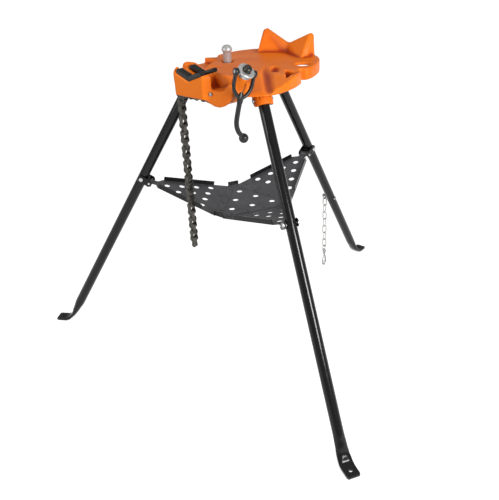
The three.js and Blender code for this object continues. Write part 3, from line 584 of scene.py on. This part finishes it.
YOKE_ROD = 5.0
YOKE_ARM = [(YOKE_HALF, 0), (YOKE_HALF, -20), (YOKE_HALF - 1, -36), (YOKE_HALF * 0.66, -53.3)]
YOKE_FOOT = (0, -65)
YOKE_EYE = [
    (4.8, -4.2), (8.6, -4.6), (9.5, -3.6), (9.5, 3.6), (8.6, 4.6), (4.8, 4.2), (4.8, -4.2),
]
SHANK_ROD = 6.6
SHANK_PATH = [(0, -62), (0, -100), (2, -130), (12, -151), (31, -166)]
NECK_SECTION = [(5.0, -50), (10.0, -63), (9.2, -70), (6.9, -84), (6.6, -90)]
NECK_FLATNESS = 0.62
BALL_RADIUS = 13 * MM
BALL_PLACE = (33 * MM, 0.0, -168 * MM)
zinc_plate = finish(
    "zinc_plate", (0.60, 0.60, 0.59), (0.46, 0.46, 0.45), metal=0.75,
    rough=(0.28, 0.42), grain_scale=600.0, relief=0.06, cloud_scale=60.0,
)
black_forging = finish(
    "black_forging", (0.016, 0.016, 0.017), (0.008, 0.008, 0.009), metal=0.0,
    rough=(0.20, 0.34), grain_scale=260.0, relief=0.2, cloud_scale=40.0, shine=0.32,
)

screw_frame = Matrix.Translation(nut_centre) @ Matrix.Rotation(math.pi / 2 - SCREW_TILT, 4, "Y")
screw_section = [(0, -101), (10, -101), (SCREW_CREST, -99), (SCREW_CREST, -72)]
for k in range(SCREW_TURNS):
    z = SCREW_THREAD_LOW + THREAD_PITCH * k
    screw_section += [
        (SCREW_ROOT, z + 1.2), (SCREW_ROOT, z + 1.8),
        (SCREW_CREST, z + 3.0), (SCREW_CREST, z + 3.8),
    ]
screw_section += [(10.2, 19.6), (8.8, 21), (0, 21)]
screw = shown("chain_screw_made", mesh_of(
    "chain screw",
    turned(screw_section, 28),
    block(EYE_BLANK, Matrix.Translation((0.0, 0.0, EYE_BLANK_Z))),
    turned(EYE_SECTION, 28, Matrix.Translation((0.0, 0.0, -SCREW_REACH)) @ lie),
))
screw.data.transform(screw_frame)
finished(screw, oiled_steel, "chain_screw", sharp=50.0)

nut_frame = screw_frame @ Matrix.Rotation(NUT_TURN, 4, "Z")
nut = shown("clamp_nut_made", mesh_of(
    "clamp nut", turned(NUT_SECTION, 44), turned(TRUNNION_SECTION, 20, sideways)
))
nut.data.transform(nut_frame)
finished(nut, zinc_plate, "clamp_nut", sharp=32.0)


# A round bar on a smooth path through (across, up) pairs in millimetres
def bent_bar(points, radius):
    spots = [Vector((x * MM, 0.0, z * MM)) for x, z in points]
    smooth = []
    steps = 6
    for k in range(len(spots) - 1):
        a, b, c = spots[max(k - 1, 0)], spots[k], spots[k + 1]
        d = spots[min(k + 2, len(spots) - 1)]
        for i in range(steps):
            t = i / steps
            square, cube = 2 * a - 5 * b + 4 * c - d, 3 * b - a - 3 * c + d
            smooth.append(0.5 * ((2 * b) + (c - a) * t + square * t * t + cube * t ** 3))
    smooth.append(spots[-1])
    path = bpy.data.curves.new("bent bar", "CURVE")
    path.dimensions = "3D"
    path.bevel_depth = radius * MM
    path.bevel_resolution = 4
    path.use_fill_caps = True
    line = path.splines.new("POLY")
    line.points.add(len(smooth) - 1)
    for point, spot in zip(line.points, smooth):
        point.co = (*spot, 1.0)
    holder = shown("bent_bar_path", path)
    mesh = baked_mesh(holder)
    bpy.data.objects.remove(holder)
    work = opened(mesh)
    bpy.data.meshes.remove(mesh)
    bmesh.ops.remove_doubles(work, verts=work.verts, dist=SAME_POINT)
    bmesh.ops.recalc_face_normals(work, faces=work.faces)
    return work


trunnion_axis = (nut_frame.to_3x3() @ Vector((1.0, 0.0, 0.0))).normalized()
handle_up = (Vector((0.0, 0.0, 1.0)) - trunnion_axis * trunnion_axis.z).normalized()
handle_side = handle_up.cross(trunnion_axis)
handle_frame = Matrix((trunnion_axis, handle_side, handle_up)).transposed().to_4x4()
handle_frame.translation = nut_centre
yoke_path = YOKE_ARM + [YOKE_FOOT] + [(-x, z) for x, z in reversed(YOKE_ARM)]
ball = bmesh.new()
bmesh.ops.create_uvsphere(
    ball, u_segments=32, v_segments=20, radius=BALL_RADIUS, matrix=Matrix.Translation(BALL_PLACE)
)
neck = placed(turned(NECK_SECTION, 20), Matrix.Diagonal((1.0, NECK_FLATNESS, 1.0, 1.0)))
yoke_eyes = [
    turned(YOKE_EYE, 24, Matrix.Translation((side * YOKE_HALF * MM, 0.0, 0.0)) @ sideways)
    for side in (-1, 1)
]
handle = shown("clamp_handle_made", mesh_of(
    "clamp handle", bent_bar(yoke_path, YOKE_ROD), bent_bar(SHANK_PATH, SHANK_ROD), ball, neck,
    *yoke_eyes,
))
handle.data.transform(handle_frame)
finished(handle, black_forging, "clamp_handle", sharp=45.0)


# Ceiling brace screw
# A plated steel screw with a domed head that is wound up against a ceiling or a beam. It runs in a
# threaded boss of the casting.
BRACE_CREST = 11.0
BRACE_ROOT = 10.1
BRACE_THREAD_LOW = 865.0
BRACE_TURNS = 15
BRACE_HEAD = [
    (12.4, 928.4), (12.4, 954.6), (13.2, 956.4), (15.2, 958.2), (16.0, 960.4), (16.0, 963.0),
    (15.3, 966.4), (13.6, 969.8), (11.0, 972.8), (7.4, 975.0), (3.4, 975.9), (0, 976.0),
]
satin_zinc = finish(
    "satin_zinc_plate", (0.50, 0.50, 0.495), (0.38, 0.38, 0.375), metal=0.40,
    rough=(0.34, 0.48), grain_scale=600.0, relief=0.06, cloud_scale=60.0,
)
brace_section = [(0, 862.0), (9.6, 862.0), (BRACE_CREST, 863.4)]
for k in range(BRACE_TURNS):
    z = BRACE_THREAD_LOW + THREAD_PITCH * k
    brace_section += [
        (BRACE_CREST, z), (BRACE_CREST, z + 0.9), (BRACE_ROOT, z + 1.7), (BRACE_ROOT, z + 2.2),
        (BRACE_CREST, z + 3.1),
    ]
brace = shown("brace_screw_made", mesh_of("brace screw", turned(
    brace_section + BRACE_HEAD, 36, Matrix.Translation((brace_x, brace_y, 0.0))
)))
finished(brace, satin_zinc, "brace_screw", sharp=32.0)


# Legs
# Three steel tubes, pressed flat and bent at the foot with one hole for a floor screw, then dipped
# in black gloss paint. The top of each tube turns on a pin in its socket.
TUBE_RADIUS = 15.9 * MM
LEG_SPLAY = math.radians(31.1)
HINGE_Z = 872 * MM
LEG_LENGTH = HINGE_Z / math.cos(LEG_SPLAY)
LEG_TOP = -14 * MM
LEG_SIDES = 40
FOOT_R = HINGE_R + HINGE_Z * math.tan(LEG_SPLAY)
FOOT_LEAN = math.pi / 2
FOOT_RISE = 4.2 * MM
FOOT_SQUARE = 1.36
FOOT_HOLE = [(0, -20), (6, -20), (6, 40), (0, 40)]
FOOT_HOLE_OUT = 29 * MM
AZIMUTHS = {"rear": 90.0, "left": 210.0, "right": 330.0}
black_gloss = finish(
    "black_gloss_paint", (0.0055, 0.0056, 0.0060), (0.0040, 0.0040, 0.0044), metal=0.0,
    rough=(0.12, 0.22), grain_scale=420.0, relief=0.04, cloud_scale=25.0, shine=0.28,
)


def leg_section(r, z, lean, half_width, half_thick, square):
    points = []
    normal = Vector((math.cos(lean), 0.0, math.sin(lean)))
    for i in range(LEG_SIDES):
        turn = 2 * math.pi * i / LEG_SIDES
        across = max(-1.0, min(1.0, square * math.cos(turn)))
        through = max(-1.0, min(1.0, square * math.sin(turn)))
        points.append(Vector((r, half_width * across, z)) + normal * half_thick * through)
    return points


def along_leg(s):
    return HINGE_R + s * math.sin(LEG_SPLAY), HINGE_Z - s * math.cos(LEG_SPLAY)


# Sections down the leg: place, lean, half width, half thickness and squareness
leg_keys = [
    (*along_leg(LEG_TOP), LEG_SPLAY, TUBE_RADIUS, TUBE_RADIUS, 1.0),
    (*along_leg(LEG_LENGTH - 92 * MM), LEG_SPLAY, TUBE_RADIUS, TUBE_RADIUS, 1.0),
    (*along_leg(LEG_LENGTH - 56 * MM), LEG_SPLAY, 17.6 * MM, 12 * MM, 1.0),
    (*along_leg(LEG_LENGTH - 30 * MM), LEG_SPLAY, 19.6 * MM, 8.2 * MM, 1.0),
    (FOOT_R + 2 * MM, 2 * FOOT_RISE, (LEG_SPLAY + FOOT_LEAN) / 2, 20.5 * MM, 5.2 * MM, 1.12),
    (FOOT_R + 16 * MM, FOOT_RISE, FOOT_LEAN, 20 * MM, FOOT_RISE, FOOT_SQUARE),
    (FOOT_R + 44 * MM, FOOT_RISE, FOOT_LEAN, 19.6 * MM, FOOT_RISE, FOOT_SQUARE),
    (FOOT_R + 50 * MM, FOOT_RISE, FOOT_LEAN, 17.5 * MM, 3.4 * MM, FOOT_SQUARE),
]
leg_rings = []
for k, (start, stop) in enumerate(zip(leg_keys, leg_keys[1:])):
    steps = 1 if k == 0 else 4
    for i in range(steps):
        t = i / steps
        ease = t if k in (0, 5, 6) else t * t * (3 - 2 * t)
        shares = (t, t, ease, ease, ease, ease)
        leg_rings.append([a + (b - a) * share for a, b, share in zip(start, stop, shares)])
leg_rings.append(leg_keys[-1])
leg_work = bmesh.new()
leg_loops = [[leg_work.verts.new(p) for p in leg_section(*ring)] for ring in leg_rings]
for lower, upper in zip(leg_loops, leg_loops[1:]):
    for i in range(LEG_SIDES):
        j = (i + 1) % LEG_SIDES
        leg_work.faces.new((lower[i], lower[j], upper[j], upper[i]))
for cap in (leg_loops[0][::-1], leg_loops[-1]):
    leg_work.faces.new(cap)
bmesh.ops.recalc_face_normals(leg_work, faces=leg_work.faces)
leg_blank = mesh_of("leg blank", leg_work)
foot_drill = shown("foot_drill", mesh_of("foot drill", turned(
    FOOT_HOLE, 28, Matrix.Translation((FOOT_R + FOOT_HOLE_OUT, 0.0, 0.0))
)))


def about_axis(degrees):
    return Matrix.Rotation(math.radians(degrees), 4, "Z")


def leg_turn(name):
    return Matrix.Translation((0.0, tripod_y, 0.0)) @ about_axis(AZIMUTHS[name])


for name in AZIMUTHS:
    leg = shown("leg_" + name + "_made", leg_blank.copy())
    drilled = leg.modifiers.new("foot hole", "BOOLEAN")
    drilled.object = foot_drill
    drilled.solver = "EXACT"
    frozen(leg)
    leg.data.transform(leg_turn(name))
    finished(leg, black_gloss, "leg_" + name, sharp=32.0)
bpy.data.objects.remove(foot_drill)


# Tray brackets and their bolts
# Each leg has a bent steel clip in the leg's black paint, held by one plated bolt, and a plated
# pin on which the tray wing turns.
BRACKET_EDGE = 0.7 * MM
BOLT_EDGE = 0.6 * MM
for name in AZIMUTHS:
    eased_copy("tray_bracket_" + name, BRACKET_EDGE, black_gloss)
    eased_copy("bracket_bolt_" + name, BOLT_EDGE, zinc_plate)
    eased_copy("wing_pin_" + name, BOLT_EDGE, zinc_plate)


# Tray wings and centre plate
# Pressed sheet steel in dark grey paint with punched round holes; upturned edges in black as
# painted shade.
# Each wing has a rolled eye at its bracket. Hinge strips are riveted on along the inner edges.
SHEET = 2 * MM
HOLE = 9 * MM
HOLE_PITCH = 44 * MM
HOLE_MARGIN = 5 * MM
HOLE_SIDES = 28
PUNCH_DEPTH = 12 * MM
TRAY_Z = 560 * MM
PIVOT_OFFSET = 28 * MM
RIM = 86 * MM
DROP = 60 * MM
WING_LAP = 2 * MM
WING_HALF = 113 * MM
WING_NECK = 32 * MM
NECK_HALF = 30 * MM
ROOT_LENGTH = 22 * MM
ROOT_HALF = 13 * MM
FIRST_ROW = 24 * MM
LAST_ROW = 40 * MM
WING_EDGE_RISE = 14 * MM
WING_EDGE_START = 4 * MM
WING_EDGE_STOP = 48 * MM
ROLLED_EYE = [
    (4.4, -13), (6.0, -13), (6.6, -12.4), (6.6, 12.4), (6.0, 13), (4.4, 13), (4.4, -13),
]
STRIP = 21 * MM
STRIP_THICK = 1.2 * MM
STRIP_SINK = 0.2 * MM
STRIP_INSET = 3 * MM
WING_STRIP_SHORT = 13 * MM
PLATE_STRIP_SHORT = 16 * MM
STRIP_RIVETS = 4
STRIP_RIVET_SPAN = 0.84
STRIP_RIVET_RADIUS = 4.2 * MM
STRIP_RIVET_HEIGHT = 3.2 * MM
PLATE_EDGE_RISE = 13 * MM
PLATE_HOLE_INSETS = (8 * MM, 46 * MM)
grey_paint = finish(
    "dark_grey_paint", (0.070, 0.072, 0.079), (0.050, 0.052, 0.058), metal=0.0,
    rough=(0.34, 0.5), grain_scale=600.0, relief=0.1, cloud_scale=18.0,
)

punch_tree, punch_in, punch_out = geometry_tree(
    "punched sheet", Holes="Object", Hole_radius="Float", Sides="Int", Material="Material"
)
hole_spots = step(punch_tree, "GeometryNodeObjectInfo", {"Object": punch_in["Holes"]})
punch = step(punch_tree, "GeometryNodeMeshCylinder", {
    "Vertices": punch_in["Sides"], "Radius": punch_in["Hole radius"], "Depth": PUNCH_DEPTH,
})
punches = step(punch_tree, "GeometryNodeRealizeInstances", {
    "Geometry": laid(punch_tree, hole_spots.outputs["Geometry"], punch.outputs["Mesh"]),
})
punched = step(
    punch_tree, "GeometryNodeMeshBoolean",
    {"Mesh 1": punch_in["Geometry"], "Mesh 2": punches.outputs["Geometry"]},
    operation="DIFFERENCE", solver="EXACT",
)
closing(punch_tree, punched.outputs["Mesh"], punch_in["Material"], punch_out)

rivets_tree, rivets_in, rivets_out = geometry_tree(
    "hinge rivets", Count="Int", First="Vector", Stride="Vector", Radius="Float", Height="Float",
    Material="Material",
)
rivet_head = step(rivets_tree, "GeometryNodeMeshCylinder", {
    "Vertices": 14, "Radius": rivets_in["Radius"], "Depth": rivets_in["Height"],
})
head_row = row(rivets_tree, rivets_in["Count"], rivets_in["First"], rivets_in["Stride"])
riveted = step(rivets_tree, "GeometryNodeJoinGeometry", {"Geometry": rivets_in["Geometry"]})
heads_laid = laid(rivets_tree, head_row, rivet_head.outputs["Mesh"])
feed(rivets_tree, riveted.inputs["Geometry"], heads_laid)
closing(rivets_tree, riveted.outputs["Geometry"], rivets_in["Material"], rivets_out)

pivot_s = (HINGE_Z - TRAY_Z - PIVOT_OFFSET * math.sin(LEG_SPLAY)) / math.cos(LEG_SPLAY)
pivot_r = along_leg(pivot_s)[0] - PIVOT_OFFSET * math.cos(LEG_SPLAY)
wing_length = math.hypot(pivot_r - RIM + WING_LAP, DROP)
wing_tilt = math.asin(DROP / wing_length)
wing_frame = Matrix.Translation((pivot_r, 0.0, TRAY_Z)) @ Matrix.Rotation(-wing_tilt, 4, "Y")


def slab(loop, z0, z1):
    return extruded([(x, y, z0) for x, y in loop], (0.0, 0.0, z1 - z0))


def punched_sheet(name, blank_name, loop, holes):
    mesh = bpy.data.meshes.new(name + "_holes")
    mesh.from_pydata(holes, [], [])
    spots = shown(name + "_hole_spots", mesh)
    blank = shown(name + "_made", mesh_of(blank_name, slab(loop, -SHEET / 2, SHEET / 2)))
    made_by(blank, punch_tree, {
        "Holes": spots, "Hole radius": HOLE, "Sides": HOLE_SIDES, "Material": grey_paint,
    })
    bpy.data.objects.remove(spots)
    return blank


def wing_edge(x):
    t = max(0.0, min(1.0, (x - WING_NECK) / (wing_length - WING_NECK)))
    return NECK_HALF + t * (WING_HALF - NECK_HALF)


def upturned_edge(side):
    ends = [WING_NECK + WING_EDGE_START, wing_length - WING_EDGE_STOP]
    outside = [(-x, side * wing_edge(x)) for x in ends]
    inside = [(-x, side * (wing_edge(x) - SHEET)) for x in reversed(ends)]
    return slab(outside + inside, -SHEET / 2, WING_EDGE_RISE)


def hinge_strip(name, from_x, half):
    to_x = from_x + math.copysign(STRIP, from_x)
    top = SHEET / 2 + STRIP_THICK
    first_y = -half * STRIP_RIVET_SPAN
    loop = [(from_x, -half), (to_x, -half), (to_x, half), (from_x, half)]
    strip = shown(name, mesh_of(name, slab(loop, SHEET / 2 - STRIP_SINK, top)))
    made_by(strip, rivets_tree, {
        "Count": STRIP_RIVETS, "First": ((from_x + to_x) / 2, first_y, top),
        "Stride": (0.0, -2 * first_y / (STRIP_RIVETS - 1), 0.0), "Radius": STRIP_RIVET_RADIUS,
        "Height": STRIP_RIVET_HEIGHT, "Material": grey_paint,
    })
    work = opened(strip.data)
    bpy.data.objects.remove(strip)
    return work


wing_side = [
    (0.0, ROOT_HALF), (ROOT_LENGTH, ROOT_HALF), (WING_NECK, NECK_HALF), (wing_length, WING_HALF),
]
wing_loop = [(-x, y) for x, y in wing_side] + [(-x, -y) for x, y in reversed(wing_side)]
wing_holes = []
row_x = WING_NECK + FIRST_ROW
shift = 0.0
while row_x < wing_length - LAST_ROW:
    y = shift
    while y + HOLE + HOLE_MARGIN < wing_edge(row_x):
        wing_holes += [(-row_x, y, 0.0)] + ([(-row_x, -y, 0.0)] if y > 0 else [])
        y += HOLE_PITCH
    row_x += HOLE_PITCH
    shift = HOLE_PITCH / 2 - shift
for name in AZIMUTHS:
    node = "tray_wing_" + name
    wing_place = leg_turn(name) @ wing_frame
    wing = punched_sheet(node, "wing blank", wing_loop, wing_holes)
    wing.data = mesh_of(
        "tray wing " + name, opened(wing.data), turned(ROLLED_EYE, 24, lie),
        hinge_strip("wing_strip", STRIP + STRIP_INSET - wing_length, WING_HALF - WING_STRIP_SHORT),
    )
    wing.data.transform(wing_place)
    finished(wing, grey_paint, node)
    # Painted shade: the upturned edges take the legs' black gloss in place of the sheet's grey
    edges_mesh = mesh_of("wing edges " + name, upturned_edge(1), upturned_edge(-1))
    edges_mesh.transform(wing_place)
    finished(shown(node + "_edges", edges_mesh), black_gloss, node, extra=True)

plate_loop = []
for turn in AZIMUTHS.values():
    for y in (-WING_HALF, WING_HALF):
        plate_loop.append((about_axis(turn) @ Vector((RIM, y, 0.0)))[:2])
plate_holes = []
for i in range(6):
    spot = Vector((RIM - PLATE_HOLE_INSETS[i % 2], 0.0, 0.0))
    plate_holes.append((about_axis(60 * i + 30) @ spot)[:])
edge_reach = RIM * math.cos(math.pi / 3) + WING_HALF * math.sin(math.pi / 3)
edge_half = RIM * math.sin(math.pi / 3) - WING_HALF * math.cos(math.pi / 3)
edge_loop = [
    (edge_reach, -edge_half), (edge_reach, edge_half),
    (edge_reach - SHEET, edge_half), (edge_reach - SHEET, -edge_half),
]
plate_strips = []
plate_rims = []
for turn in AZIMUTHS.values():
    strip = hinge_strip("plate_strip", RIM - STRIP - STRIP_INSET, WING_HALF - PLATE_STRIP_SHORT)
    plate_strips.append(placed(strip, about_axis(turn)))
    rim = slab(edge_loop, -SHEET / 2, PLATE_EDGE_RISE)
    plate_rims.append(placed(rim, about_axis(turn + 60)))
plate_place = Matrix.Translation((0.0, tripod_y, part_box("tray_plate")[0][2] + SHEET / 2))
plate = punched_sheet("tray_plate", "plate blank", plate_loop, plate_holes)
plate.data = mesh_of("tray plate", opened(plate.data), *plate_strips)
plate.data.transform(plate_place)
finished(plate, grey_paint, "tray_plate")
# Painted shade: the plate's upturned edges take the legs' black gloss in place of the sheet's grey
rims_mesh = mesh_of("plate edges", *plate_rims)
rims_mesh.transform(plate_place)
rims = shown("tray_plate_edges", rims_mesh)
finished(rims, black_gloss, "tray_plate", extra=True)


# Retaining chain and snap hook
# A plated welded chain on a bolt through the rear leg, with a bent wire snap hook at its end that
# holds the folded legs together.
LINK_WIRE = 2.2 * MM
LINK_HALF_WIDTH = 7.5 * MM
LINK_PITCH = 30 * MM
LINK_HALF = (LINK_PITCH - 1.2 * MM) / 2 + LINK_WIRE
LINKS = 7
WIRE_SIDES = 10
TOP_RING = 10 * MM
TOP_RING_Z = 326.6 * MM
LOW_RING = 11 * MM
FIRST_LINK_Z = TOP_RING_Z - 6 * MM - LINK_HALF
LOW_RING_Z = FIRST_LINK_Z - (LINKS - 1) * LINK_PITCH - LINK_HALF + 4 * MM - LOW_RING
HOOK_EYE = 6.5 * MM
HOOK_EYE_WIRE = 2.4 * MM
HOOK_EYE_RISE = 8 * MM
HOOK_EYE_Z = LOW_RING_Z - LOW_RING + LINK_WIRE + 0.5 * MM + HOOK_EYE_WIRE - HOOK_EYE
HOOK_ROD = 3.0
HOOK_PATH = [(0, -4), (5, -16), (9, -30), (9, -46), (0, -56), (-9, -48), (-9, -34)]
SWIVEL_SECTION = [(0, -8), (3.6, -8), (4.2, -7.4), (4.2, 0.9), (3.4, 1.5), (0, 1.5)]
GATE_ROD = 1.8
GATE_PATH = [(-4.5, -12), (-7.5, -22), (-9, -33)]


def wire_loop(half_width, half_length, wire, steps=28):
    work = bmesh.new()
    straight = half_length - half_width
    loops = []
    for i in range(steps):
        turn = 2 * math.pi * i / steps
        out = Vector((math.cos(turn), 0.0, math.sin(turn)))
        lift = math.copysign(straight, math.sin(turn + 1e-6))
        centre = out * half_width + Vector((0.0, 0.0, lift))
        loop = []
        for k in range(WIRE_SIDES):
            round_wire = 2 * math.pi * k / WIRE_SIDES
            spoke = out * math.cos(round_wire) + Vector((0.0, math.sin(round_wire), 0.0))
            loop.append(work.verts.new(centre + wire * spoke))
        loops.append(loop)
    for i in range(steps):
        a, b = loops[i], loops[(i + 1) % steps]
        for k in range(WIRE_SIDES):
            j = (k + 1) % WIRE_SIDES
            work.faces.new((a[k], a[j], b[j], b[k]))
    bmesh.ops.recalc_face_normals(work, faces=work.faces)
    return work


links_tree, links_in, links_out = geometry_tree(
    "welded chain", Links="Int", Pitch="Float", First="Vector", Link="Object", Material="Material"
)
links_down = vector(links_tree, 0.0, 0.0, reckoned(links_tree, links_in["Pitch"], -1.0))
links_row = row(links_tree, links_in["Links"], links_in["First"], links_down)
links_index = step(links_tree, "GeometryNodeInputIndex", {}).outputs["Index"]
every_other = reckoned(links_tree, links_index, 2.0, "MODULO")
cross_turn = vector(links_tree, 0.0, 0.0, reckoned(links_tree, every_other, math.pi / 2))
link_source = step(links_tree, "GeometryNodeObjectInfo", {"Object": links_in["Link"]})
links_laid = laid(links_tree, links_row, link_source.outputs["Geometry"], Rotation=cross_turn)
closing(links_tree, links_laid, links_in["Material"], links_out)

retainer_x, retainer_y, _ = middle("retainer_chain")
quarter_turn = about_axis(90.0)


def hung_at(z):
    return Matrix.Translation((retainer_x, retainer_y, z)) @ quarter_turn


link_pattern = shown("welded_link_pattern", mesh_of(
    "welded link", wire_loop(LINK_HALF_WIDTH, LINK_HALF, LINK_WIRE)
))
links = made_by(shown("retainer_chain_made", bpy.data.meshes.new("retainer chain")), links_tree, {
    "Links": LINKS, "Pitch": LINK_PITCH, "First": (retainer_x, retainer_y, FIRST_LINK_Z),
    "Link": link_pattern, "Material": zinc_plate,
})
bpy.data.objects.remove(link_pattern)
links.data = mesh_of(
    "retaining chain", opened(links.data),
    placed(wire_loop(TOP_RING, TOP_RING, LINK_WIRE, 32), hung_at(TOP_RING_Z)),
    placed(wire_loop(LOW_RING, LOW_RING, LINK_WIRE, 32), hung_at(LOW_RING_Z)),
)
finished(links, zinc_plate, "retainer_chain", sharp=50.0)
eased_copy("retainer_bolt", BOLT_EDGE, dull_zinc)

hook_place = hung_at(HOOK_EYE_Z - HOOK_EYE_RISE)
eye_place = Matrix.Translation((0.0, 0.0, HOOK_EYE_RISE)) @ quarter_turn
hook = shown("snap_hook_made", mesh_of(
    "snap hook", bent_bar(HOOK_PATH, HOOK_ROD), turned(SWIVEL_SECTION, 24),
    placed(wire_loop(HOOK_EYE, HOOK_EYE, HOOK_EYE_WIRE), eye_place),
))
hook.data.transform(hook_place)
finished(hook, dull_zinc, "snap_hook", sharp=50.0)
gate = shown("snap_gate_made", mesh_of("snap gate", bent_bar(GATE_PATH, GATE_ROD)))
gate.data.transform(hook_place)
finished(gate, dull_zinc, "snap_gate", sharp=50.0)


# Studio
# A wide white floor under a pale sky, one large lamp on the right and a weak one on the left. The
# camera stands where the photograph was taken from.
FLOOR_REACH = 40.0
FLOOR_GREY = 0.42
FLOOR_GLOW = 0.82
SKY_LOW = 0.16
SKY_HIGH = 0.58
SKY_TOP = 0.8
SKY_IN_GLOSS = 0.45
WHITE = (1.0, 1.0, 1.0, 1.0)
white = bpy.data.materials.new("studio_white")
white.use_nodes = True
white_tree = white.node_tree
rays = step(white_tree, "ShaderNodeLightPath", {}).outputs
shown_to = reckoned(white_tree, rays["Is Camera Ray"], rays["Is Glossy Ray"], "MAXIMUM")
white_shader = white_tree.nodes["Principled BSDF"].inputs
feed(white_tree, white_shader["Base Color"], (FLOOR_GREY, FLOOR_GREY, FLOOR_GREY, 1.0))
feed(white_tree, white_shader["Roughness"], 1.0)
feed(white_tree, white_shader["Specular IOR Level"], 0.0)
feed(white_tree, white_shader["Emission Color"], WHITE)
feed(white_tree, white_shader["Emission Strength"], reckoned(white_tree, shown_to, FLOOR_GLOW))
floor_mesh = bpy.data.meshes.new("studio floor")
floor_mesh.from_pydata([
    (x * FLOOR_REACH, y * FLOOR_REACH, 0.0) for x, y in ((-1, -1), (1, -1), (1, 1), (-1, 1))
], [], [(0, 1, 2, 3)])
floor_mesh.materials.append(white)
floor = shown("studio_floor", floor_mesh)
floor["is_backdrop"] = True

world = bpy.data.worlds.new("studio_air")
bpy.context.scene.world = world
world.use_nodes = True
air_tree = world.node_tree
sky_way = step(air_tree, "ShaderNodeTexCoord", {})
sky_parts = step(air_tree, "ShaderNodeSeparateXYZ", {"Vector": sky_way.outputs["Generated"]})
sky_light = step(air_tree, "ShaderNodeMapRange", {
    "Value": sky_parts.outputs["Z"], "From Min": 0.0, "From Max": SKY_TOP,
    "To Min": SKY_LOW, "To Max": SKY_HIGH,
})
sky_rays = step(air_tree, "ShaderNodeLightPath", {}).outputs
sky_gloss = reckoned(air_tree, sky_rays["Is Glossy Ray"], SKY_IN_GLOSS)
white_sky = reckoned(air_tree, sky_rays["Is Camera Ray"], sky_gloss, "MAXIMUM")
sky_strength = reckoned(air_tree, sky_light.outputs["Result"], white_sky, "MAXIMUM")
air = air_tree.nodes["Background"].inputs
feed(air_tree, air["Color"], WHITE)
feed(air_tree, air["Strength"], sky_strength)


def soft_lamp(name, place, aim, size, power):
    lamp = bpy.data.lights.new(name, "AREA")
    lamp.shape = "SQUARE"
    lamp.size = size
    lamp.energy = power
    holder = shown(name, lamp)
    holder.location = place
    holder.rotation_euler = (Vector(aim) - Vector(place)).to_track_quat("-Z", "Y").to_euler()


soft_lamp("right_lamp", (2.7, -0.8, 1.5), (0.0, -0.15, 0.8), 0.9, 78.0)
soft_lamp("left_lamp", (-1.2, -2.7, 1.7), (0.0, -0.1, 0.7), 1.4, 30.0)

camera_data = bpy.data.cameras.new("photo_camera")
camera_data.lens = 663.04 / 500 * 36
camera_data.shift_x = -0.0087
camera_data.shift_y = -0.0133
camera = shown("photo_camera", camera_data)
camera.matrix_world = Matrix((
    (0.777605, -0.270693, 0.567500, 1.259449),
    (0.627474, 0.391642, -0.672973, -1.648614),
    (-0.040087, 0.879399, 0.474396, 1.389660),
    (0.0, 0.0, 0.0, 1.0),
))
bpy.context.scene.camera = camera
bpy.context.scene.view_settings.view_transform = "Standard"

low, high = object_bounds()
